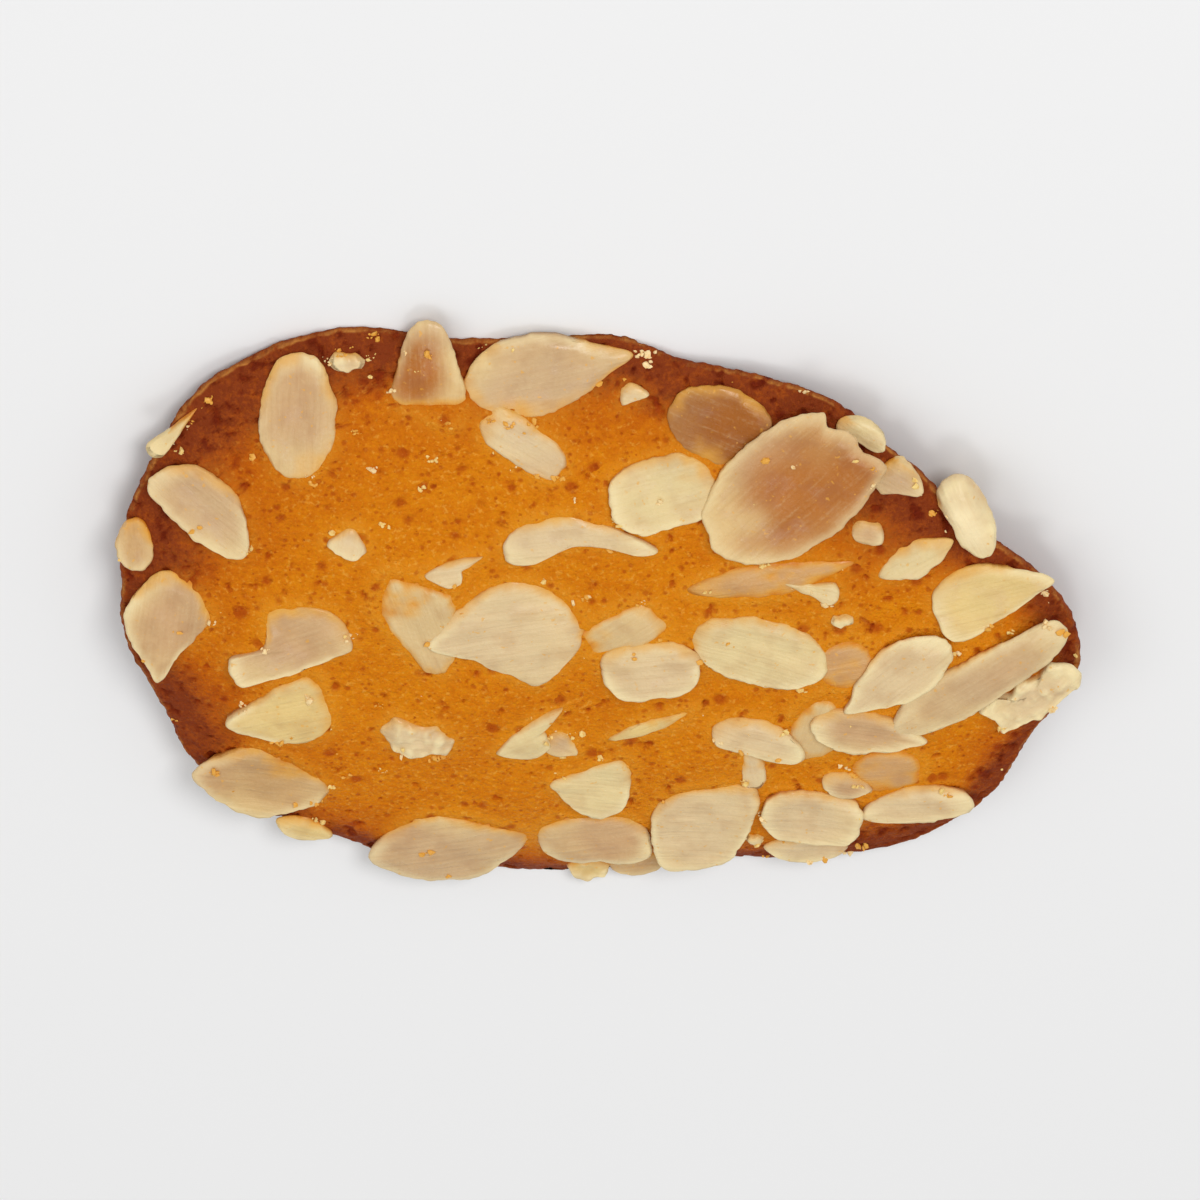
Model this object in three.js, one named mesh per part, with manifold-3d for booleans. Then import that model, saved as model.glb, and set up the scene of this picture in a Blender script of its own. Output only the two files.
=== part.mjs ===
// Almond tuile: a thin oval biscuit, baked with sliced almonds on top and bent into a low arch.
// Millimetres, +Z up. The arch runs along X and rests on its two long edges, almonds upwards.
// The middle of its footprint is at the origin.
import * as THREE from 'three';
import { mergeVertices } from 'three/addons/utils/BufferGeometryUtils.js';
import Module from 'manifold-3d';

// The biscuit, measured as a flat sheet: along runs with X, across runs round the bend
const BEND_RADIUS = 116;
const ARCH_RISE = 4.7;
const SHEET_MIDDLE = { along: -0.245, across: 0.955 };
const MIDDLE_THICKNESS = 3;
const RIM_THICKNESS = 1.6;
const RIM_FALL = 5;

// Distance from the middle to the rim, at equal turns round the sheet from +X
const RIM_RADII = [48, 38.8, 36.8, 33.4, 34.8, 36.8, 48.2, 50, 48.3, 45.2, 40.5, 38, 35.5, 36.4, 43, 46];

// Small scallops of the rim: how many go round, how deep, and where they start
const SCALLOPS = [[7, 0.35, 0.4], [12, 0.3, 1.9], [19, 0.2, 4.1]];

// Slow rise and fall of the rim over the bend, and low swells all over the top
const RIPPLE = { waves: 4, height: 0.5, start: 2.8, power: 4 };
const SWELLS = [[0.31, 0.14, 0.5, 0.14], [-0.17, 0.36, 2.1, 0.14], [0.42, -0.33, 4.4, 0.08]];

// Section from the middle of the underside to the middle of the top: share of the radius, share of the height
const UNDERSIDE_RINGS = 6;
const TOP_RINGS = 10;
const RIM_START = 0.97;
const RIM_ROUND = [[0.992, 0.16], [1, 0.5], [0.992, 0.84]];
const TURN_STEPS = 84;

// Outlines of the almond pieces, counter-clockwise from the tip at +X, in half lengths and half widths
const OUTLINES = {
  leaf: [
    [1, 0], [0.6, 0.45], [0.15, 0.85], [-0.3, 1], [-0.7, 0.8], [-0.95, 0.4], [-1, -0.1], [-0.85, -0.55],
    [-0.45, -0.95], [0, -0.95], [0.45, -0.65], [0.75, -0.3],
  ],
  lens: [
    [1, 0], [0.65, 0.55], [0.2, 0.95], [-0.2, 1], [-0.65, 0.65], [-1, 0.05], [-0.7, -0.55], [-0.25, -0.95],
    [0.2, -1], [0.65, -0.6],
  ],
  oval: [
    [1, 0], [0.85, 0.55], [0.45, 0.9], [0, 1], [-0.5, 0.85], [-0.88, 0.5], [-1, 0], [-0.85, -0.55],
    [-0.4, -0.95], [0.1, -1], [0.55, -0.85], [0.9, -0.45],
  ],
  pod: [
    [1, 0.1], [0.92, 0.6], [0.55, 0.75], [0, 0.9], [-0.4, 1], [-0.78, 0.7], [-1, 0.05], [-0.9, -0.6],
    [-0.45, -0.95], [0.1, -0.9], [0.6, -0.75], [0.92, -0.4],
  ],
  tongue: [
    [1, 0], [0.9, 0.38], [0.6, 0.66], [0.1, 0.85], [-0.35, 1], [-0.65, 0.8], [-0.75, 0.3], [-0.95, -0.3],
    [-1, -0.65], [-0.75, -0.95], [-0.35, -1], [0.1, -0.8], [0.58, -0.63], [0.88, -0.38],
  ],
  kite: [
    [1, 0], [0.5, 0.35], [0.05, 0.75], [-0.2, 1], [-0.4, 0.92], [-0.8, 0.5], [-1, 0], [-0.9, -0.45],
    [-0.5, -0.9], [-0.05, -1], [0.4, -0.75], [0.8, -0.3],
  ],
  wedge: [
    [1, 0.1], [0.5, 0.6], [0, 0.95], [-0.5, 1], [-0.9, 0.6], [-1, -0.1], [-0.92, -0.8], [-0.7, -1],
    [-0.1, -0.7], [0.5, -0.3],
  ],
  half: [
    [1, -0.4], [0.8, 0.2], [0.35, 0.8], [-0.15, 1], [-0.6, 0.8], [-0.95, 0.2], [-1, -0.4], [-0.8, -0.85],
    [-0.3, -0.95], [0.3, -1], [0.8, -0.9],
  ],
  blunt: [
    [1, 0], [0.95, 0.55], [0.6, 0.92], [0, 1], [-0.55, 0.95], [-0.92, 0.65], [-1, 0.1], [-0.9, -0.5],
    [-0.6, -0.9], [0, -1], [0.6, -0.9], [0.92, -0.55],
  ],
  shield: [
    [1, 0.62], [0.9, 0.97], [0.45, 1.02], [-0.2, 1], [-0.57, 0.85], [-0.85, 0.5], [-0.96, -0.12],
    [-0.87, -0.69], [-0.67, -1], [0, -0.96], [0.4, -0.81], [0.63, -0.5], [0.89, 0.12],
  ],
  broken: [
    [0.97, 0.1], [0.85, 0.35], [0.95, 0.58], [0.75, 0.8], [0.3, 1], [-0.3, 0.98], [-0.75, 0.7], [-1, 0.1],
    [-0.9, -0.4], [-0.5, -0.85], [0.1, -1], [0.6, -0.9], [0.95, -0.7], [0.9, -0.3],
  ],
  slab: [
    [1, -0.2], [0.95, 0.35], [0.6, 0.8], [0, 0.95], [-0.6, 1], [-0.95, 0.8], [-1, 0.2], [-0.9, -0.35],
    [-0.6, -0.8], [0, -0.95], [0.6, -1], [0.95, -0.75],
  ],
  pentagon: [
    [1, 0], [0.75, 0.4], [0.2, 0.75], [-0.4, 1], [-0.7, 0.6], [-0.95, 0], [-1, -0.4], [-0.75, -0.75],
    [-0.4, -1], [0.25, -0.7], [0.85, -0.4],
  ],
  spike: [
    [1, 0], [0.4, 0.3], [-0.2, 0.6], [-0.8, 1], [-1, 0.3], [-0.95, -0.5], [-0.7, -0.9], [-0.1, -0.55],
    [0.5, -0.3],
  ],
  sliver: [
    [1, -0.6], [0.6, 0.15], [0.1, 0.8], [-0.35, 1], [-0.75, 0.75], [-1, 0.05], [-0.95, -0.6], [-0.7, -0.8],
    [-0.35, -0.4], [0, -0.2], [0.4, -0.4], [0.75, -0.7],
  ],
  hook: [
    [1, 0.5], [0.6, 0.55], [0.15, 0.5], [-0.4, 0.3], [-1, -0.1], [-0.7, -0.6], [-0.3, -1], [0.15, -0.8],
    [0.25, -0.1], [0.55, 0.1], [0.8, 0.3],
  ],
  hatchet: [
    [1, 0.4], [0.35, 0.6], [-0.35, 0.65], [-0.85, 0.6], [-0.95, -0.1], [-0.85, -0.7], [-0.4, -1.1],
    [0.02, -1.35], [0.2, -0.8], [0.38, -0.3], [0.7, -0.35], [0.95, -0.4], [1.05, 0],
  ],
  ragged: [
    [1, 0.3], [0.7, 0.85], [0.3, 0.5], [0, 0.95], [-0.35, 0.55], [-0.6, 1], [-1, 0.7], [-0.85, 0.1],
    [-1, -0.6], [-0.6, -0.75], [-0.2, -1], [0.3, -0.8], [0.8, -0.75], [1, -0.3],
  ],
  chunk: [
    [1, 0.1], [0.8, 0.6], [0.3, 0.95], [-0.3, 1], [-0.8, 0.8], [-1, 0.2], [-0.9, -0.5], [-0.5, -0.95],
    [0.1, -0.8], [0.6, -0.85], [0.92, -0.5],
  ],
  chip: [
    [1, 0.2], [0.5, 0.9], [-0.1, 0.7], [-0.7, 1], [-1, 0.1], [-0.6, -0.7], [0, -1], [0.5, -0.6],
    [0.85, -0.6],
  ],
};

// How rounded the corners of an outline are, 1 where nothing else is stated
const ROUNDNESS = { broken: 0.5, ragged: 0.4, chip: 0.25, hook: 0.6, hatchet: 0.6, pentagon: 0.6 };

// Thickness of most pieces and of the kinds that differ, and points on each millimetre of length
const SLICE_THICKNESS = 0.9;
const OTHER_THICKNESS = { chunk: 2, ragged: 1.4, chip: 1.1 };
const OUTLINE_POINTS = 1.2;

// Small chance tilts of the pieces, with the seeds of their roll and pitch
const CASUAL_TILT = THREE.MathUtils.degToRad(2.5);
const ROLL_SEED = 0.25;
const PITCH_SEED = 0.75;

// Slope of the pieces down towards +Y, no steeper than sinks that edge a little way into the biscuit.
// Pieces with a tip raised by more than a few degrees have no such slope.
const SLOPE = { flattest: 0.04, steepest: 0.09, sunk: 0.05, seed: 0.84 };
const MOST_RAISED = 5;

// Each piece: outline, place along and across, length, width (below zero for a mirrored outline),
// turn of its tip in degrees from +X, lift of its middle over the biscuit, degrees by which its tip is raised
const PIECES = [
  ['broken', 18.6, 19.1, 20, 13.5, 47, 1.3, 6],
  ['pod', 38.3, -3.9, 22.2, 6.2, 38, 1.1, 3],
  ['lens', -15.6, -28.7, 17.2, 10.6, 11, 0.4, 0],
  ['leaf', -5.3, 31.3, 17, 8.6, 12, 0.25, 0],
  ['lens', 17, 8.8, 17.3, 4.6, 12, -0.1, 0],
  ['kite', -9.6, 1.7, 16.2, 13.2, 188, 0.45, 3],
  ['sliver', -2.3, 13.4, 15.5, 6, 6, 0.2, 0],
  ['oval', 15.9, -0.2, 14.5, 8.3, -19, 0.4, 0],
  ['leaf', 29.7, -3.2, 14, 6.8, 224, 0.8, -3],
  ['lens', -35, -18.7, 14, 9.7, 170, 0.3, 0],
  ['oval', -30.5, 26.9, 14, 7.7, -92, 0.15, 0],
  ['kite', -44, 2.2, 13.6, 8.8, -98, 0.6, 0],
  ['hatchet', -31.5, 0, 13, 8.3, 205, 0.3, 0],
  ['wedge', 39.7, 6, 12.6, 8, 16, 0.5, 2],
  ['shield', 10.4, -25, 11.3, 12.4, 0, 0.9, 0],
  ['leaf', 27.1, -10.7, 12.2, 5.6, -10, 0.5, 0],
  ['ragged', 43.8, -6.3, 11.2, 5.4, 41, 0.9, 4],
  ['half', 32.2, -21.4, 11.5, -4.8, 187, 0.5, 0],
  ['half', -39.8, 16.9, 12.5, 6.6, -42, 0.4, 0],
  ['pentagon', -18.2, 3.4, 14, 8.8, -72, -0.1, 0],
  ['oval', 11.9, 25.9, 11, 8, -22, 0.1, 0],
  ['blunt', 6.1, 18.7, 11, 8, 196, 0.3, 0],
  ['slab', -0.9, -27.5, 11.4, 8, 188, 0.4, 0],
  ['wedge', -33, -8.4, 11.2, 9, 192, 0.3, 0],
  ['blunt', 21.4, -23.4, 10.4, 7.2, -7, 0.7, 3],
  ['blunt', 4.9, -2.3, 10, 7, 5, 0.4, 0],
  ['slab', -8, 24, 10, 4.8, -34, 0.15, 0],
  ['tongue', -17.4, 31.5, 11.8, 7.4, 90, 0.6, 8],
  ['half', 16.2, -11.7, 10.2, 4.8, -20, 0.4, 0],
  ['chunk', 36.8, 15.4, 9.6, 4.6, -64, 0.9, 0],
  ['lens', 5.3, -10, 10.4, 2, 26, -0.15, 0],
  ['hook', -7.1, -11.3, 9.3, 6.2, 32, 0.3, 0],
  ['slab', 2, 2.2, 9, 6.2, 38, -0.1, 0],
  ['lens', 31.6, 10.7, 8.5, 3.8, 29, 0.2, 0],
  ['lens', 20.9, -29.3, 8.3, 4.6, -2, 0.3, 0],
  ['wedge', -1.2, -18.6, 8.2, 8.8, 172, 0.3, 0],
  ['oval', 21.8, -10.4, 10, 6.4, 75, -0.1, 0],
  ['oval', 28.9, -16.7, 8.2, 7, 6, -0.1, 0],
  ['chip', -18.9, -11.8, 7.6, 5.2, -8, 0.2, 0],
  ['spike', -43, 24.9, 7, 2.2, 47, 0, 0],
  ['slab', 15.4, -16, 7, 2.6, -84, 0, 0],
  ['hook', -15, 10, 6.4, 4, 10, 0.2, 0],
  ['oval', 24.6, -1.8, 7, 6.6, 11, -0.1, 0],
  ['oval', -47.2, 12, 6, 3.7, 90, 0.25, 0],
  ['lens', -30.7, -26.5, 6.2, 3.2, -22, 0.2, 0],
  ['oval', 3.5, -33, 6, 4.8, 6, 0, 0],
  ['spike', 20.9, 7.7, 6, 2.8, 165, 0.2, 0],
  ['pentagon', 30, 19.7, 5.4, 4.4, -30, 0.25, 0],
  ['leaf', 25.1, -18.8, 5.3, 3.6, -12, 0.3, 0],
  ['half', 26.3, 25, 5.6, 2.8, -32, 0.5, 0],
  ['chip', -1.5, -34, 4.5, 3.5, 0, 0.1, 0],
  ['pentagon', -25.7, 13.1, 3.6, 4, 80, 0.25, 0],
  ['chip', -25.5, 32.6, 3.6, 2, 0, 0.3, 0],
  ['slab', 26.7, 14, 3.2, 2.6, -8, 0.2, 0],
  ['wedge', 3.3, 29.1, 2.9, 2.4, -4, 0.3, 0],
  ['leaf', -4.1, -13, 4, 3.2, -35, 0.05, 0],
  ['chip', 24.1, 3.8, 2.4, 1.5, 5, 0.4, 0],
  ['chip', 15.6, -27.4, 2, 1.6, 0, 0.3, 0],
];

const BAKED = { color: 0xcf7a1e, roughness: 0.6, metalness: 0 };
const FULL_TURN = 2 * Math.PI;
const WELD = 1e-4;
const CHANCE_STEP = 12.9898;
const CHANCE_SPREAD = 43758.5453;
const wasm = await Module();
wasm.setup();

// A fixed number from 0 to 1 for each seed, so that the pieces lie the same every time
function chance(seed) {
  const wave = Math.sin(seed * CHANCE_STEP) * CHANCE_SPREAD;
  return wave - Math.floor(wave);
}

// Distance from the middle to the rim: a smooth closed curve through the radii, with the scallops on it
const rimCurve = new THREE.CatmullRomCurve3(
  RIM_RADII.map((radius) => new THREE.Vector3(radius, 0, 0)),
  true,
  'catmullrom',
);
function rimRadius(angle) {
  const smooth = rimCurve.getPoint(THREE.MathUtils.euclideanModulo(angle, FULL_TURN) / FULL_TURN).x;
  return SCALLOPS.reduce(
    (sum, [waves, depth, start]) => sum + depth * Math.sin(waves * angle + start),
    smooth,
  );
}

// Share of the way from the middle of the sheet to its rim
function rimShare(along, across) {
  return Math.min(1, Math.hypot(along, across) / rimRadius(Math.atan2(across, along)));
}

// Thickness of the biscuit at a place on the sheet
function thickness(along, across) {
  const fall = rimShare(along, across) ** RIM_FALL;
  const swell = SWELLS.reduce(
    (sum, [alongWave, acrossWave, start, height]) =>
      sum + height * Math.sin(alongWave * along + acrossWave * across + start),
    0,
  );
  return MIDDLE_THICKNESS + (RIM_THICKNESS - MIDDLE_THICKNESS) * fall + swell * (1 - fall);
}

// A place on the flat sheet, at a height over its underside, carried onto the arch
function bend(along, across, height) {
  const ripple = Math.cos(RIPPLE.waves * Math.atan2(across, along) + RIPPLE.start);
  const lifted = height + RIPPLE.height * ripple * rimShare(along, across) ** RIPPLE.power;
  const angle = across / BEND_RADIUS;
  return new THREE.Vector3(
    along - SHEET_MIDDLE.along,
    (BEND_RADIUS + lifted) * Math.sin(angle) - SHEET_MIDDLE.across,
    (BEND_RADIUS + lifted) * Math.cos(angle) - BEND_RADIUS + ARCH_RISE,
  );
}

// A closed geometry as a solid: shared corners joined, triangles that have shrunk to a line dropped
function toSolid(geometry) {
  geometry.deleteAttribute('normal');
  geometry.deleteAttribute('uv');
  const joined = mergeVertices(geometry, WELD);
  const corners = joined.index.array;
  const triangles = [];
  for (let i = 0; i < corners.length; i += 3) {
    const [a, b, c] = corners.slice(i, i + 3);
    if (a !== b && b !== c && c !== a) triangles.push(a, b, c);
  }
  const mesh = new wasm.Mesh({
    numProp: 3,
    vertProperties: joined.attributes.position.array,
    triVerts: Uint32Array.from(triangles),
  });
  return new wasm.Manifold(mesh);
}

// The bare biscuit: a lens section turned round the middle, drawn out to the rim and bent,
// with its two lowest edges flat where it stands
function makeBiscuit() {
  const section = [];
  for (let i = 0; i <= UNDERSIDE_RINGS; i += 1) {
    section.push(new THREE.Vector2((RIM_START * i) / UNDERSIDE_RINGS, 0));
  }
  RIM_ROUND.forEach(([share, level]) => section.push(new THREE.Vector2(share, level)));
  for (let i = TOP_RINGS; i >= 0; i -= 1) {
    section.push(new THREE.Vector2((RIM_START * i) / TOP_RINGS, 1));
  }
  const geometry = new THREE.LatheGeometry(section, TURN_STEPS).rotateX(Math.PI / 2);
  const position = geometry.attributes.position;
  for (let i = 0; i < position.count; i += 1) {
    const angle = Math.atan2(position.getY(i), position.getX(i));
    const along = position.getX(i) * rimRadius(angle);
    const across = position.getY(i) * rimRadius(angle);
    const point = bend(along, across, position.getZ(i) * thickness(along, across));
    position.setXYZ(i, point.x, point.y, Math.max(0, point.z));
  }
  return toSolid(geometry);
}

// Outline of one almond piece, its tip towards +X
function pieceOutline(name, length, width) {
  const corners = OUTLINES[name].map(([x, y]) => new THREE.Vector3((x * length) / 2, (y * width) / 2, 0));
  const curve = new THREE.CatmullRomCurve3(corners, true, 'catmullrom', (ROUNDNESS[name] ?? 1) / 2);
  const count = Math.max(corners.length, Math.round(OUTLINE_POINTS * length));
  return curve.getPoints(count).slice(0, count).map(({ x, y }) => new THREE.Vector2(x, y));
}

// Angle by which a piece slopes down towards +Y, from its outline turned to its place
function pieceSlope(outline, turn, lift, index) {
  const reach = outline.map(({ x, y }) => x * Math.sin(turn) + y * Math.cos(turn));
  const slope = THREE.MathUtils.lerp(SLOPE.flattest, SLOPE.steepest, chance(index + SLOPE.seed));
  return Math.min(slope, Math.max(0, lift + SLOPE.sunk) / Math.max(...reach));
}

// One almond piece, lying on the biscuit at its place
function makePiece([name, along, across, length, width, turn, lift, raise], index) {
  const thick = Math.min(OTHER_THICKNESS[name] ?? SLICE_THICKNESS, Math.abs(width) / 2);
  const outline = pieceOutline(name, length, width);
  const geometry = new THREE.ExtrudeGeometry(new THREE.Shape(outline), { depth: thick, bevelEnabled: false });
  geometry.translate(0, 0, -thick / 2);
  const roll = CASUAL_TILT * (2 * chance(index + ROLL_SEED) - 1);
  const pitch = CASUAL_TILT * (2 * chance(index + PITCH_SEED) - 1) - THREE.MathUtils.degToRad(raise);
  const facing = THREE.MathUtils.degToRad(turn);
  const slope = raise > MOST_RAISED ? 0 : pieceSlope(outline, facing, lift, index);
  const pose = new THREE.Matrix4().makeRotationFromEuler(new THREE.Euler(roll, pitch, facing, 'ZYX'));
  pose.premultiply(new THREE.Matrix4().makeRotationX(-across / BEND_RADIUS - slope));
  pose.setPosition(bend(along, across, thickness(along, across) + lift));
  return toSolid(geometry.applyMatrix4(pose));
}

// Biscuit and almonds as one body: a hollow closed in between them is filled
function makeTuile() {
  const joined = PIECES.map(makePiece).reduce((whole, piece) => whole.add(piece), makeBiscuit());
  const bodies = joined.decompose().sort((a, b) => b.volume() - a.volume());
  const { vertProperties, triVerts } = bodies[0].getMesh();
  const geometry = new THREE.BufferGeometry();
  geometry.setAttribute('position', new THREE.BufferAttribute(vertProperties, 3));
  geometry.setIndex(new THREE.BufferAttribute(triVerts, 1));
  geometry.computeVertexNormals();
  const tuile = new THREE.Mesh(geometry, new THREE.MeshStandardMaterial(BAKED));
  tuile.name = 'tuile';
  return tuile;
}

const part = new THREE.Group();
part.add(makeTuile());

export default part;
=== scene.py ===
import math

import bmesh
import bpy
from bpy.props import FloatProperty, FloatVectorProperty, IntProperty, PointerProperty
from bpy.types import Operator, Panel, PropertyGroup
from mathutils import Euler, Matrix, Vector, kdtree, noise
from mathutils.bvhtree import BVHTree


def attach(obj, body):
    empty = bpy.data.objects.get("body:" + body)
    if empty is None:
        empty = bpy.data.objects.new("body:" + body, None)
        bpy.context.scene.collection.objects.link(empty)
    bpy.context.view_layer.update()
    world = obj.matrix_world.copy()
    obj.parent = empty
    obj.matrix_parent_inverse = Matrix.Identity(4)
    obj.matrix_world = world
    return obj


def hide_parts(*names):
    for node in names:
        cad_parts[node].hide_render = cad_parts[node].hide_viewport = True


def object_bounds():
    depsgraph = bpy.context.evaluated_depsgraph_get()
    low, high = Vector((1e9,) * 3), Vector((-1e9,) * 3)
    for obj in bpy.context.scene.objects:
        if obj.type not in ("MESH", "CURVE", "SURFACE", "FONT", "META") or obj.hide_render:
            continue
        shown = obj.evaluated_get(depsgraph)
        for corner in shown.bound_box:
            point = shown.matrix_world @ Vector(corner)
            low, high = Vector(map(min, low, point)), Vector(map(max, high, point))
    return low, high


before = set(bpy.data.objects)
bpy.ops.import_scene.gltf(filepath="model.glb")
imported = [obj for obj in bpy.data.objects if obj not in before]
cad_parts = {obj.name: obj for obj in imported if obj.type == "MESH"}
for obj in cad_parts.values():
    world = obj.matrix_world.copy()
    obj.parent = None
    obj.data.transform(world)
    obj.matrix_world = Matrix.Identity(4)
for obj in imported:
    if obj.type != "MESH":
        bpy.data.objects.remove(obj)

bl_info = {
    "name": "Almond tuile",
    "version": (1, 0, 0),
    "blender": (4, 5, 0),
    "location": "3D View > Sidebar > Tuile",
    "description": "Makes an almond tuile: a bent biscuit with sliced almonds baked onto it",
    "category": "Add Mesh",
}

CAD_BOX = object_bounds()
NODE = "tuile"
BODY = "root"
MM = 0.001
FULL_TURN = 2 * math.pi

# Distance from the middle of the flat sheet to its rim, in millimetres, at equal turns from +X
RIM_RADII = (48, 38.8, 36.8, 33.4, 34.8, 36.8, 48.2, 50, 48.3, 45.2, 40.5, 38, 35.5, 36.4, 43, 46)

# Small scallops of the rim: how many go round, how deep in millimetres, and where they start
SCALLOPS = ((7, 0.35, 0.4), (12, 0.3, 1.9), (19, 0.2, 4.1))

# Low swells of the top: waves along and across in radians a millimetre, start, height in millimetres
SWELLS = ((0.31, 0.14, 0.5, 0.14), (-0.17, 0.36, 2.1, 0.14), (0.42, -0.33, 4.4, 0.08))

# Width of the dark band along the rim, in millimetres, at equal turns from +X
BROWNED_WIDTHS = (4.5, 9, 9, 6.5, 6, 6.5, 8.5, 9, 7, 7.5, 4.5, 4, 3.5, 5, 6, 4)

# The dark band varies by this share in width, and by these millimetres from place to place. It pales inwards
# in steps: the share of each, and where it starts and ends in widths of the band
BROWNED_DRIFT, BROWNED_MOTTLE = 0.35, 0.9
BROWNED_STEPS = ((0.7, 0.35, 1.3), (0.3, 0.9, 2.4))

# How late the sheet thins towards its rim: the power of the share of the way there
THINNING_POWER = 5

# Slow rise and fall of the rim over the bend
RIPPLE_WAVES, RIPPLE_HEIGHT, RIPPLE_START, RIPPLE_POWER = 4, 0.5, 2.8, 4

# Pores lie where noise is over a least value. Their edges are ragged by a share of finer noise
PORE_RAGGED, PORE_SLOPE = 0.3, 0.28

# Uneven noise: size of its lumps along and across in millimetres, and the layer that sets it apart
NOISE = {
    "browned width": (12, 12, 3.7),
    "browned mottle": (3.5, 3.5, 8.1),
    "underside": (2.5, 2.5, 5),
    "lumpy top": (3.2, 3.2, 2),
    "grainy top": (0.9, 0.9, 6),
    "rough crust": (1.1, 1.1, 9),
    "coarse rim": (1.6, 1.6, 0),
    "fine rim": (0.6, 0.6, 9.1),
    "sparse pores": (1.3, 1.3 / 1.2, 1.5),
    "sparse pore edges": (0.5, 0.5, 6.5),
    "dense pores": (1.2, 1, 4.5),
    "dense pore edges": (1.2 / 2.6, 1.2 / 2.6, 9.5),
    "wavy edge": (2.5, 2.5, 0),
    "ragged edge": (0.7, 0.7, 3.3),
    "worn edge": (2, 2, 17.7),
    "thin edge": (3, 3, 19.1),
    "ridges": (6, 0.9, 2.2),
    "bulges": (3, 1.8, 7.7),
    "uneven cut": (9, 9, 4.4),
    "lumps": (0.9, 0.9, 23.3),
    "tone": (3, 3, 12.5),
    "paling": (3.5, 3.5, 15.5),
    "rosy": (7, 7, 21.5),
    "creep": (1.1, 1.1, 5.5),
}

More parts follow.
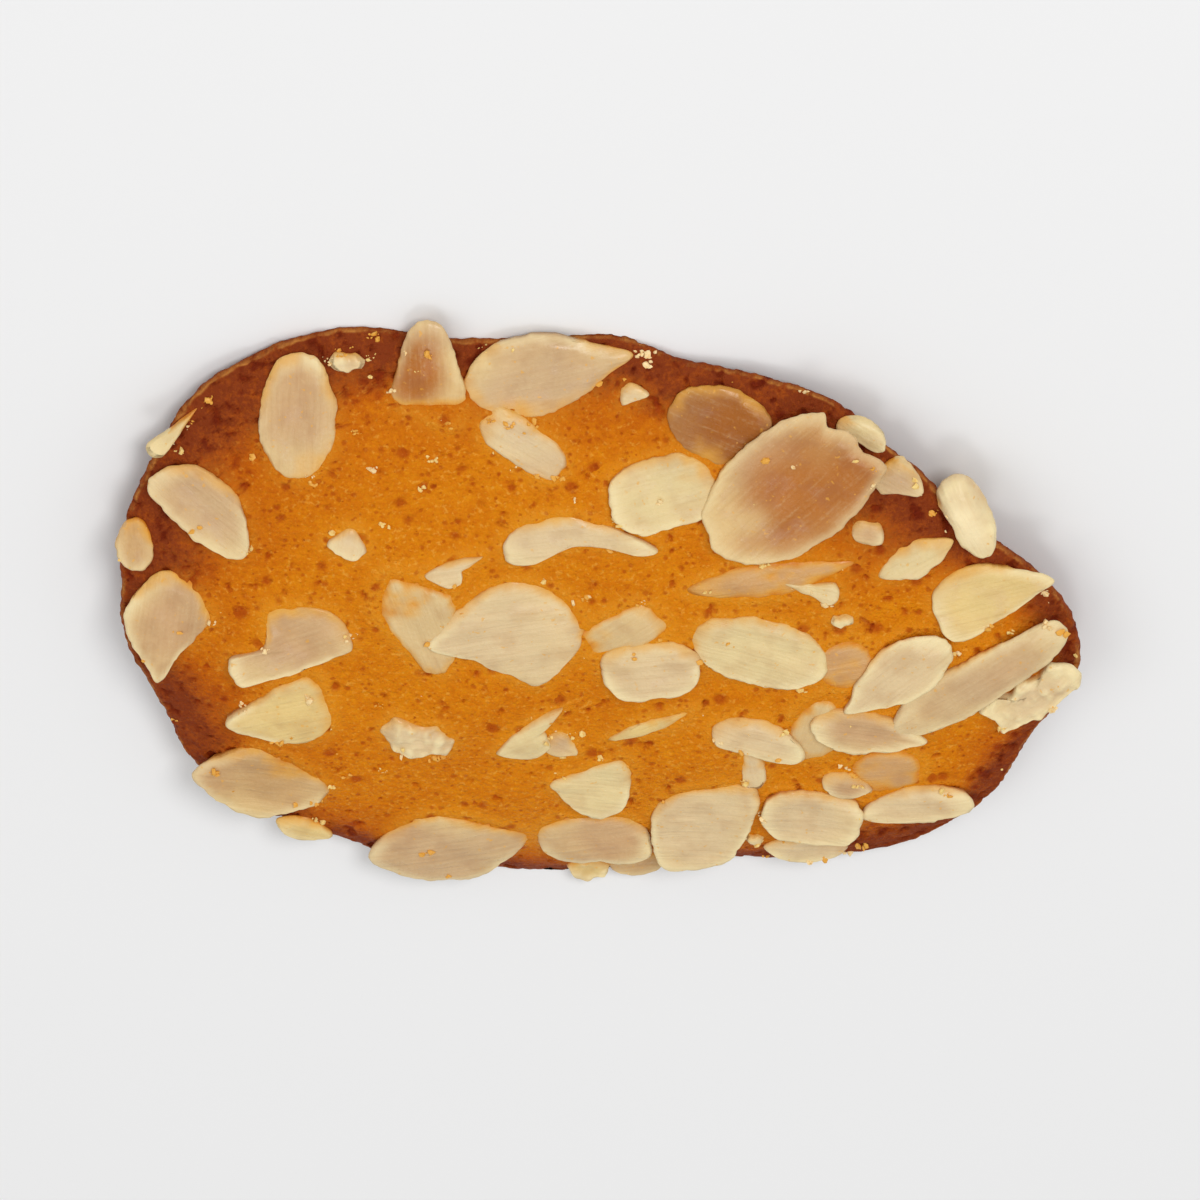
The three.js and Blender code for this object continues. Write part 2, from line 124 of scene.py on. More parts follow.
# Outlines of the almond pieces, counter-clockwise from the tip at +X, in half lengths and half widths
OUTLINES = {
    "leaf": ((1, 0), (0.6, 0.45), (0.15, 0.85), (-0.3, 1), (-0.7, 0.8), (-0.95, 0.4), (-1, -0.1),
             (-0.85, -0.55), (-0.45, -0.95), (0, -0.95), (0.45, -0.65), (0.75, -0.3)),
    "lens": ((1, 0), (0.65, 0.55), (0.2, 0.95), (-0.2, 1), (-0.65, 0.65), (-1, 0.05),
             (-0.7, -0.55), (-0.25, -0.95), (0.2, -1), (0.65, -0.6)),
    "oval": ((1, 0), (0.85, 0.55), (0.45, 0.9), (0, 1), (-0.5, 0.85), (-0.88, 0.5), (-1, 0),
             (-0.85, -0.55), (-0.4, -0.95), (0.1, -1), (0.55, -0.85), (0.9, -0.45)),
    "pod": ((1, 0.1), (0.92, 0.6), (0.55, 0.75), (0, 0.9), (-0.4, 1), (-0.78, 0.7), (-1, 0.05),
            (-0.9, -0.6), (-0.45, -0.95), (0.1, -0.9), (0.6, -0.75), (0.92, -0.4)),
    "tongue": ((1, 0), (0.9, 0.38), (0.6, 0.66), (0.1, 0.85), (-0.35, 1), (-0.65, 0.8), (-0.75, 0.3),
               (-0.95, -0.3), (-1, -0.65), (-0.75, -0.95), (-0.35, -1), (0.1, -0.8), (0.58, -0.63),
               (0.88, -0.38)),
    "kite": ((1, 0), (0.5, 0.35), (0.05, 0.75), (-0.2, 1), (-0.4, 0.92), (-0.8, 0.5), (-1, 0),
             (-0.9, -0.45), (-0.5, -0.9), (-0.05, -1), (0.4, -0.75), (0.8, -0.3)),
    "wedge": ((1, 0.1), (0.5, 0.6), (0, 0.95), (-0.5, 1), (-0.9, 0.6), (-1, -0.1), (-0.92, -0.8),
              (-0.7, -1), (-0.1, -0.7), (0.5, -0.3)),
    "half": ((1, -0.4), (0.8, 0.2), (0.35, 0.8), (-0.15, 1), (-0.6, 0.8), (-0.95, 0.2), (-1, -0.4),
             (-0.8, -0.85), (-0.3, -0.95), (0.3, -1), (0.8, -0.9)),
    "blunt": ((1, 0), (0.95, 0.55), (0.6, 0.92), (0, 1), (-0.55, 0.95), (-0.92, 0.65), (-1, 0.1),
              (-0.9, -0.5), (-0.6, -0.9), (0, -1), (0.6, -0.9), (0.92, -0.55)),
    "shield": ((1, 0.62), (0.9, 0.97), (0.45, 1.02), (-0.2, 1), (-0.57, 0.85), (-0.85, 0.5), (-0.96, -0.12),
               (-0.87, -0.69), (-0.67, -1), (0, -0.96), (0.4, -0.81), (0.63, -0.5), (0.89, 0.12)),
    "broken": ((0.97, 0.1), (0.85, 0.35), (0.95, 0.58), (0.75, 0.8), (0.3, 1), (-0.3, 0.98), (-0.75, 0.7),
               (-1, 0.1), (-0.9, -0.4), (-0.5, -0.85), (0.1, -1), (0.6, -0.9), (0.95, -0.7), (0.9, -0.3)),
    "slab": ((1, -0.2), (0.95, 0.35), (0.6, 0.8), (0, 0.95), (-0.6, 1), (-0.95, 0.8), (-1, 0.2),
             (-0.9, -0.35), (-0.6, -0.8), (0, -0.95), (0.6, -1), (0.95, -0.75)),
    "pentagon": ((1, 0), (0.75, 0.4), (0.2, 0.75), (-0.4, 1), (-0.7, 0.6), (-0.95, 0), (-1, -0.4),
                 (-0.75, -0.75), (-0.4, -1), (0.25, -0.7), (0.85, -0.4)),
    "spike": ((1, 0), (0.4, 0.3), (-0.2, 0.6), (-0.8, 1), (-1, 0.3), (-0.95, -0.5), (-0.7, -0.9),
              (-0.1, -0.55), (0.5, -0.3)),
    "sliver": ((1, -0.6), (0.6, 0.15), (0.1, 0.8), (-0.35, 1), (-0.75, 0.75), (-1, 0.05), (-0.95, -0.6),
               (-0.7, -0.8), (-0.35, -0.4), (0, -0.2), (0.4, -0.4), (0.75, -0.7)),
    "hook": ((1, 0.5), (0.6, 0.55), (0.15, 0.5), (-0.4, 0.3), (-1, -0.1), (-0.7, -0.6), (-0.3, -1),
             (0.15, -0.8), (0.25, -0.1), (0.55, 0.1), (0.8, 0.3)),
    "hatchet": ((1, 0.4), (0.35, 0.6), (-0.35, 0.65), (-0.85, 0.6), (-0.95, -0.1), (-0.85, -0.7),
                (-0.4, -1.1), (0.02, -1.35), (0.2, -0.8), (0.38, -0.3), (0.7, -0.35), (0.95, -0.4),
                (1.05, 0)),
    "ragged": ((1, 0.3), (0.7, 0.85), (0.3, 0.5), (0, 0.95), (-0.35, 0.55), (-0.6, 1), (-1, 0.7),
               (-0.85, 0.1), (-1, -0.6), (-0.6, -0.75), (-0.2, -1), (0.3, -0.8), (0.8, -0.75), (1, -0.3)),
    "chunk": ((1, 0.1), (0.8, 0.6), (0.3, 0.95), (-0.3, 1), (-0.8, 0.8), (-1, 0.2), (-0.9, -0.5),
              (-0.5, -0.95), (0.1, -0.8), (0.6, -0.85), (0.92, -0.5)),
    "chip": ((1, 0.2), (0.5, 0.9), (-0.1, 0.7), (-0.7, 1), (-1, 0.1), (-0.6, -0.7), (0, -1), (0.5, -0.6),
             (0.85, -0.6)),
}

# Thickness in millimetres of most pieces, and of the kinds that differ
SLICE_THICKNESS = 0.9
OTHER_THICKNESS = {"chunk": 2.0, "ragged": 1.4, "chip": 1.1}

# Kinds with sharper corners than the others
SNAPPED = {"broken": 0.5, "ragged": 0.4, "chip": 0.25, "hook": 0.6, "hatchet": 0.6, "pentagon": 0.6}

# Each almond piece: outline, place along and across the sheet, length, width (below zero where its outline
# is mirrored), turn of its tip in degrees, lift of its middle over the biscuit, degrees by which its tip is
# raised, and its tone
PIECES = (
    ("broken", 18.6, 19.1, 20, 13.5, 47, 1.3, 6, "toasted"),
    ("pod", 38.3, -3.9, 22.2, 6.2, 38, 1.1, 3, "soft"),
    ("lens", -15.6, -28.7, 17.2, 10.6, 11, 0.4, 0, "soft"),
    ("leaf", -5.3, 31.3, 17, 8.6, 12, 0.25, 0, "soft"),
    ("lens", 17, 8.8, 17.3, 4.6, 12, -0.1, 0, "glazed"),
    ("kite", -9.6, 1.7, 16.2, 13.2, 188, 0.45, 3, "pale"),
    ("sliver", -2.3, 13.4, 15.5, 6, 6, 0.2, 0, "pale"),
    ("oval", 15.9, -0.2, 14.5, 8.3, -19, 0.4, 0, "cream"),
    ("leaf", 29.7, -3.2, 14, 6.8, 224, 0.8, -3, "pale"),
    ("lens", -35, -18.7, 14, 9.7, 170, 0.3, 0, "tan"),
    ("oval", -30.5, 26.9, 14, 7.7, -92, 0.15, 0, "pink"),
    ("kite", -44, 2.2, 13.6, 8.8, -98, 0.6, 0, "pink"),
    ("hatchet", -31.5, 0, 13, 8.3, 205, 0.3, 0, "pink"),
    ("wedge", 39.7, 6, 12.6, 8, 16, 0.5, 2, "yellow"),
    ("shield", 10.4, -25, 11.3, 12.4, 0, 0.9, 0, "pale"),
    ("leaf", 27.1, -10.7, 12.2, 5.6, -10, 0.5, 0, "pink"),
    ("ragged", 43.8, -6.3, 11.2, 5.4, 41, 0.9, 4, "pale"),
    ("half", 32.2, -21.4, 11.5, -4.8, 187, 0.5, 0, "pale"),
    ("half", -39.8, 16.9, 12.5, 6.6, -42, 0.4, 0, "soft"),
    ("pentagon", -18.2, 3.4, 14, 8.8, -72, -0.1, 0, "sunken"),
    ("oval", 11.9, 25.9, 11, 8, -22, 0.1, 0, "dusky"),
    ("blunt", 6.1, 18.7, 11, 8, 196, 0.3, 0, "cream"),
    ("slab", -0.9, -27.5, 11.4, 8, 188, 0.4, 0, "pink"),
    ("wedge", -33, -8.4, 11.2, 9, 192, 0.3, 0, "yellow"),
    ("blunt", 21.4, -23.4, 10.4, 7.2, -7, 0.7, 3, "pale"),
    ("blunt", 4.9, -2.3, 10, 7, 5, 0.4, 0, "pale"),
    ("slab", -8, 24, 10, 4.8, -34, 0.15, 0, "pale"),
    ("tongue", -17.4, 31.5, 11.8, 7.4, 90, 0.6, 8, "toasted"),
    ("half", 16.2, -11.7, 10.2, 4.8, -20, 0.4, 0, "pale"),
    ("chunk", 36.8, 15.4, 9.6, 4.6, -64, 0.9, 0, "white"),
    ("lens", 5.3, -10, 10.4, 2, 26, -0.15, 0, "yellow"),
    ("hook", -7.1, -11.3, 9.3, 6.2, 32, 0.3, 0, "cream"),
    ("slab", 2, 2.2, 9, 6.2, 38, -0.1, 0, "sunken"),
    ("lens", 31.6, 10.7, 8.5, 3.8, 29, 0.2, 0, "cream"),
    ("lens", 20.9, -29.3, 8.3, 4.6, -2, 0.3, 0, "pale"),
    ("wedge", -1.2, -18.6, 8.2, 8.8, 172, 0.3, 0, "cream"),
    ("oval", 21.8, -10.4, 10, 6.4, 75, -0.1, 0, "sunken"),
    ("oval", 28.9, -16.7, 8.2, 7, 6, -0.1, 0, "glazed"),
    ("chip", -18.9, -11.8, 7.6, 5.2, -8, 0.2, 0, "pale"),
    ("spike", -43, 24.9, 7, 2.2, 47, 0, 0, "cream"),
    ("slab", 15.4, -16, 7, 2.6, -84, 0, 0, "pale"),
    ("hook", -15, 10, 6.4, 4, 10, 0.2, 0, "pale"),
    ("oval", 24.6, -1.8, 7, 6.6, 11, -0.1, 0, "glazed"),
    ("oval", -47.2, 12, 6, 3.7, 90, 0.25, 0, "tan"),
    ("lens", -30.7, -26.5, 6.2, 3.2, -22, 0.2, 0, "yellow"),
    ("oval", 3.5, -33, 6, 4.8, 6, 0, 0, "tan"),
    ("spike", 20.9, 7.7, 6, 2.8, 165, 0.2, 0, "cream"),
    ("pentagon", 30, 19.7, 5.4, 4.4, -30, 0.25, 0, "soft"),
    ("leaf", 25.1, -18.8, 5.3, 3.6, -12, 0.3, 0, "pink"),
    ("half", 26.3, 25, 5.6, 2.8, -32, 0.5, 0, "cream"),
    ("chip", -1.5, -34, 4.5, 3.5, 0, 0.1, 0, "yellow"),
    ("pentagon", -25.7, 13.1, 3.6, 4, 80, 0.25, 0, "pale"),
    ("chip", -25.5, 32.6, 3.6, 2, 0, 0.3, 0, "pale"),
    ("slab", 26.7, 14, 3.2, 2.6, -8, 0.2, 0, "pink"),
    ("wedge", 3.3, 29.1, 2.9, 2.4, -4, 0.3, 0, "pale"),
    ("leaf", -4.1, -13, 4, 3.2, -35, 0.05, 0, "soft"),
    ("chip", 24.1, 3.8, 2.4, 1.5, 5, 0.4, 0, "cream"),
    ("chip", 15.6, -27.4, 2, 1.6, 0, 0.3, 0, "cream"),
)
CASUAL_TILT = math.radians(2.5)

# Seeds of the fixed draws that make each almond piece a little different
DRAWS = {"curl": 0.4, "cup": 0.3, "twist": 0.66, "dip": 0.84, "ridge": 0.91, "heart along": 0.13,
         "heart across": 0.57, "roll": 0.25, "pitch": 0.75}

# Clusters of coarse crumbs: place along and across the sheet, number of crumbs, and their tone
CRUMB_CLUSTERS = (
    (-17, 22.3, 5, "pale"),
    (-18.2, 18.9, 6, "pale"),
    (-21.9, 15, 5, "pale"),
    (-29, 19.5, 4, "golden"),
    (-11.4, 26.6, 4, "golden"),
    (-9.4, 26.2, 5, "golden"),
    (-7, 26.1, 5, "golden"),
    (-6.2, 20.4, 4, "golden"),
    (-4.4, 20.2, 5, "golden"),
    (-15.6, 25.9, 3, "golden"),
    (3.6, 33, 6, "sugar"),
    (4.8, 32.8, 7, "sugar"),
    (4.4, 31.9, 5, "sugar"),
    (20.2, 29, 3, "sugar"),
    (24.6, 27.4, 3, "sugar"),
    (-27.6, -19.5, 5, "pale"),
    (-29.4, -21.5, 4, "golden"),
    (-34.7, -25.5, 4, "golden"),
    (-26.2, -17.6, 3, "golden"),
    (20.2, -5.2, 4, "pale"),
    (-17.2, -14.9, 5, "golden"),
    (16.4, 10.6, 4, "pale"),
    (-36.4, -7.8, 4, "sugar"),
    (46.4, 2.4, 4, "golden"),
    (41.6, 1.6, 3, "pale"),
)

# Tones of the slices that lie sunk into the biscuit, and how high it covers them in millimetres
SUNK_BEDS = {"sunken": 0.05, "glazed": 0.15}

# How far slices turn paler towards their edge, where it is not the usual share
PALING = {"toasted": 0.75, "tan": 0.6, "soft": 0.6, "pink": 0.5, "sunken": 0.2, "glazed": 0.1, "dusky": 0.1}
USUAL_PALING = 0.4

# How strong the painted highlight on raised edges is, where it is not the usual share
EDGE_LIGHT = {"toasted": 0.35, "tan": 0.45, "soft": 0.5, "dusky": 0.1, "sunken": 0.2, "glazed": 0.1}
USUAL_EDGE_LIGHT = 0.7


def linear(red, green, blue):
    """A colour given as 0 to 255 on a screen, as the light values that the shaders take."""
    shares = (red / 255, green / 255, blue / 255)
    return tuple(s / 12.92 if s <= 0.04045 else ((s + 0.055) / 1.055) ** 2.4 for s in shares)


def colour_property(name, description, *screen):
    return FloatVectorProperty(
        name=name, description=description, default=linear(*screen), size=3, min=0, max=1, subtype="COLOR"
    )


def length_property(name, description, millimetres):
    return FloatProperty(
        name=name, description=description, default=millimetres * MM, unit="LENGTH", precision=5
    )


class TuileBiscuitSettings(PropertyGroup):
    """Sizes and colours of the biscuit"""

    bend_radius: length_property("Bend radius", "Radius of the arch, at the underside", 116)
    arch_rise: length_property("Arch rise", "Height of the underside over the table at the middle", 4.7)
    shift_along: length_property("Shift along", "Place of the sheet's middle along X", 0.245)
    shift_across: length_property("Shift across", "Place of the sheet's middle along Y", -0.955)
    middle_thickness: length_property("Middle thickness", "Thickness of the biscuit in the middle", 3)
    rim_thickness: length_property("Rim thickness", "Thickness of the biscuit at its rim", 1.6)
    pore_depth: length_property("Pore depth", "Depth of the pores that the baking leaves in the top", 0.28)
    crust_relief: length_property("Crust relief", "Height of the rough crust at the rim", 0.16)
    golden: colour_property("Golden", "Colour of the least baked middle", 222, 136, 10)
    amber: colour_property("Amber", "Colour of the middle", 208, 116, 4)
    russet: colour_property("Russet", "Colour where the middle turns into the rim", 188, 92, 4)
    brown: colour_property("Brown", "Colour of the baked rim", 160, 74, 16)
    dark: colour_property("Dark", "Colour of the darkest crust", 130, 54, 19)
    # Painted shade in the pores and pits, as a tint over the colour round them
    shade: colour_property("Pore shade", "Tint of the pores over the colour round them", 206, 150, 118)
    # Painted glow: a lighter golden ring in the biscuit round the slices
    halo: colour_property("Halo", "Colour of the raised biscuit round the slices", 228, 154, 40)
    meal: colour_property("Meal", "Colour of the pale grains in the crumb", 236, 168, 64)
    # Painted highlight: the lighter line along the rim's crest, where light catches it
    crest: colour_property("Crest", "Colour of the crumbly line along the very rim", 206, 138, 64)


class TuileAlmondSettings(PropertyGroup):
    """Sizes and colours of the almond pieces"""

    edge_round: length_property("Edge rounding", "Rounding of the cut edges", 0.15)
    curl: length_property("Curl", "How far the ends of a slice curl up", 0.3)
    step: length_property("Mesh step", "Spacing of the mesh on the slices", 0.32)
    white: colour_property("White", "Tone of a thick chunk", 240, 220, 174)
    cream: colour_property("Cream", "Tone of fresh white slices", 225, 202, 148)
    yellow: colour_property("Yellow", "Tone of yellowish slices", 225, 195, 128)
    pale: colour_property("Pale", "Tone of most slices", 221, 194, 149)
    pink: colour_property("Pink", "Tone of pinkish slices", 203, 164, 118)
    soft: colour_property("Soft", "Tone of slices that have taken up some fat", 204, 170, 126)
    tan: colour_property("Tan", "Tone of lightly toasted slices", 200, 160, 108)
    toasted: colour_property("Toasted", "Tone of the most toasted slices", 180, 111, 47)
    dusky: colour_property("Dusky", "Tone of a slice under another one", 158, 92, 31)
    sunken: colour_property("Sunken", "Tone of slices sunk into the biscuit", 217, 186, 133)
    glazed: colour_property("Glazed", "Tone of sunk slices under a film of biscuit", 206, 158, 102)
    edge: colour_property("Edge", "Colour of the thin edges", 234, 206, 146)
    milk_and_highlight: colour_property("Milk", "Colour of raised edges and milky flecks", 242, 224, 174)
    # Painted highlight on raised edges and on the crags of lumpy pieces, and the real colour of milky flecks
    gold: colour_property("Gold", "Colour where biscuit starts to cover a slice", 226, 164, 62)
    syrup: colour_property("Syrup", "Colour where biscuit covers a slice", 212, 128, 26)


class TuileCrumbSettings(PropertyGroup):
    """Sizes and colours of the loose crumbs"""

    clusters: IntProperty(name="Clusters", description="Number of clusters of crumbs", default=200, min=0)
    most: IntProperty(name="Most", description="Largest number of crumbs in a cluster", default=7, min=1)
    smallest: length_property("Smallest", "Size of the smallest crumb", 0.14)
    largest: length_property("Largest", "Size of the largest crumb", 0.95)
    pale: colour_property("Pale", "Colour of almond crumbs", 238, 206, 126)
    golden: colour_property("Golden", "Colour of biscuit crumbs", 228, 164, 60)
    sugar: colour_property("Sugar", "Colour of sugar grains", 242, 214, 158)


class TuileStageSettings(PropertyGroup):
    """Floor, light and camera"""

    floor: colour_property("Floor", "Colour of the floor", 236, 236, 236)
    lean: FloatProperty(
        name="Lean", description="Angle between straight down and the view", default=math.radians(39),
        subtype="ANGLE",
    )
    lens: FloatProperty(name="Lens", description="Focal length", default=400, unit="CAMERA")
    share: FloatProperty(
        name="Share", description="Share of the picture's width that the tuile takes", default=0.8,
        min=0.1, max=1, subtype="FACTOR",
    )
    key: FloatProperty(name="Key light", description="Power of the key light", default=5.3, unit="POWER")
    fill: FloatProperty(name="Fill light", description="Power of the fill light", default=1.5, unit="POWER")
    top: FloatProperty(name="Top light", description="Power of the light overhead", default=1.4, unit="POWER")
    sky: FloatProperty(name="Sky", description="Strength of the light from all round", default=0.52, min=0)


def chance(seed):
    """A fixed number from 0 to 1 for each seed, so that uneven things are the same every time."""
    wave = math.sin(seed * 12.9898) * 43758.5453
    return wave - math.floor(wave)


def between(low, high, share):
    return low + (high - low) * share


def smooth_step(low, high, value):
    share = min(1.0, max(0.0, (value - low) / (high - low)))
    return share * share * (3 - 2 * share)


def uneven(kind, along, across, shift=0):
    """Noise from -1 to 1 at a place, in millimetres. A shift of its layer gives other noise of the kind."""
    size_along, size_across, layer = NOISE[kind]
    return noise.noise(Vector((along / size_along, across / size_across, layer + shift)))


def round_curve(values, share, soft=1.0):
    """A place on the smooth closed curve through the values, by its share of the way round.
    A curve that is less soft runs nearer to straight lines."""
    count = len(values)
    place = share % 1 * count
    step = math.floor(place)
    part = place - step
    before, start, end, after = (values[(step + k) % count] for k in (-1, 0, 1, 2))
    rise = (end - before) / 2
    curve = before - 2.5 * start + 2 * end - after / 2
    twist = (after - before) / 2 + 1.5 * (start - end)
    smooth = start + part * (rise + part * (curve + part * twist))
    return smooth * soft + (start + part * (end - start)) * (1 - soft)


class Sheet:
    """The biscuit as a flat sheet in millimetres, and how that sheet lies on its arch."""

    def __init__(self, settings):
        self.radius = settings.bend_radius / MM
        self.rise = settings.arch_rise / MM
        self.shift = (settings.shift_along / MM, settings.shift_across / MM)
        self.middle = settings.middle_thickness / MM
        self.rim = settings.rim_thickness / MM

    def rim_radius(self, angle):
        """Distance from the middle of the sheet to its rim, scallops included."""
        scallops = sum(depth * math.sin(waves * angle + start) for waves, depth, start in SCALLOPS)
        return round_curve(RIM_RADII, angle / FULL_TURN) + scallops

    def rim_share(self, along, across):
        """Share of the way from the middle of the sheet to its rim."""
        return min(1.0, math.hypot(along, across) / self.rim_radius(math.atan2(across, along)))

    def thickness(self, along, across):
        fall = self.rim_share(along, across) ** THINNING_POWER
        swell = sum(
            height * math.sin(wave_along * along + wave_across * across + start)
            for wave_along, wave_across, start, height in SWELLS
        )
        return self.middle + (self.rim - self.middle) * fall + swell * (1 - fall)

    def bend(self, along, across, height):
        """A place on the flat sheet, at a height over its underside, carried onto the arch, in metres."""
        ripple = math.cos(RIPPLE_WAVES * math.atan2(across, along) + RIPPLE_START)
        lifted = height + RIPPLE_HEIGHT * ripple * self.rim_share(along, across) ** RIPPLE_POWER
        angle = across / self.radius
        return MM * Vector((
            along + self.shift[0],
            (self.radius + lifted) * math.sin(angle) + self.shift[1],
            (self.radius + lifted) * math.cos(angle) - self.radius + self.rise,
        ))

    def flatten(self, point):
        """The place on the flat sheet of a point in metres, and its height over the biscuit's top."""
        along = point.x / MM - self.shift[0]
        side = point.y / MM - self.shift[1]
        up = point.z / MM + self.radius - self.rise
        across = self.radius * math.atan2(side, up)
        ripple = math.cos(RIPPLE_WAVES * math.atan2(across, along) + RIPPLE_START)
        ripple *= RIPPLE_HEIGHT * self.rim_share(along, across) ** RIPPLE_POWER
        return along, across, math.hypot(side, up) - self.radius - ripple - self.thickness(along, across)


def cushion(columns, rows, rim_rings, finer=0):
    """A closed square cushion to be drawn out into a shape: x and y from -1 to 1, z 0 below and 1 on top.
    finer cuts the top and the rim into smaller faces."""
    bm = bmesh.new()
    bmesh.ops.create_grid(bm, x_segments=columns, y_segments=rows, size=1)
    made = bmesh.ops.extrude_face_region(bm, geom=bm.faces[:], use_keep_orig=True)
    raised = [e for e in made["geom"] if isinstance(e, bmesh.types.BMVert)]
    bmesh.ops.translate(bm, verts=raised, vec=(0, 0, 1))
    if rim_rings > 1:
        walls = [e for e in bm.edges if e.verts[0].co.z != e.verts[1].co.z]
        bmesh.ops.subdivide_edges(bm, edges=walls, cuts=rim_rings - 1, use_grid_fill=True)
    bmesh.ops.recalc_face_normals(bm, faces=bm.faces[:])
    if finer:
        upper = [e for e in bm.edges if any(f.calc_center_median().z > 0 for f in e.link_faces)]
        bmesh.ops.subdivide_edges(bm, edges=upper, cuts=finer, use_grid_fill=True)
    return bm


def disc_place(co):
    """A point of the square cushion, moved onto a disc: its angle, and its share of the way to the edge."""
    across = co.x * math.sqrt(1 - co.y * co.y / 2)
    up = co.y * math.sqrt(1 - co.x * co.x / 2)
    return math.atan2(up, across) % FULL_TURN, min(1.0, math.hypot(across, up))


def new_piece(name, bm, material, replaced=(), smooth=True):
    """A finished mesh as a piece of the tuile."""
    bmesh.ops.recalc_face_normals(bm, faces=bm.faces[:])
    mesh = bpy.data.meshes.new(name)
    bm.to_mesh(mesh)
    bm.free()
    mesh.polygons.foreach_set("use_smooth", [smooth] * len(mesh.polygons))
    mesh.materials.append(material)
    piece = bpy.data.objects.new(name, mesh)
    bpy.context.scene.collection.objects.link(piece)
    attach(piece, BODY)
    if replaced:
        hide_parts(*replaced)


def pores(kind, least, along, across):
    """How deep a place is in a pore of that kind, from 0 to 1."""
    level = uneven(f"{kind} pores", along, across)
    level += PORE_RAGGED * uneven(f"{kind} pore edges", along, across)
    return smooth_step(least, least + PORE_SLOPE, level)


def browning(sheet, along, across):
    """How far the crust is baked at a place, from 0 in the middle to 1 at the rim."""
    angle = math.atan2(across, along)
    gap = (1 - sheet.rim_share(along, across)) * sheet.rim_radius(angle)
    width = round_curve(BROWNED_WIDTHS, angle / FULL_TURN)
    width *= 1 + BROWNED_DRIFT * uneven("browned width", along, across)
    depth = (gap + BROWNED_MOTTLE * uneven("browned mottle", along, across)) / width
    return 1 - sum(share * smooth_step(start, end, depth) for share, start, end in BROWNED_STEPS)


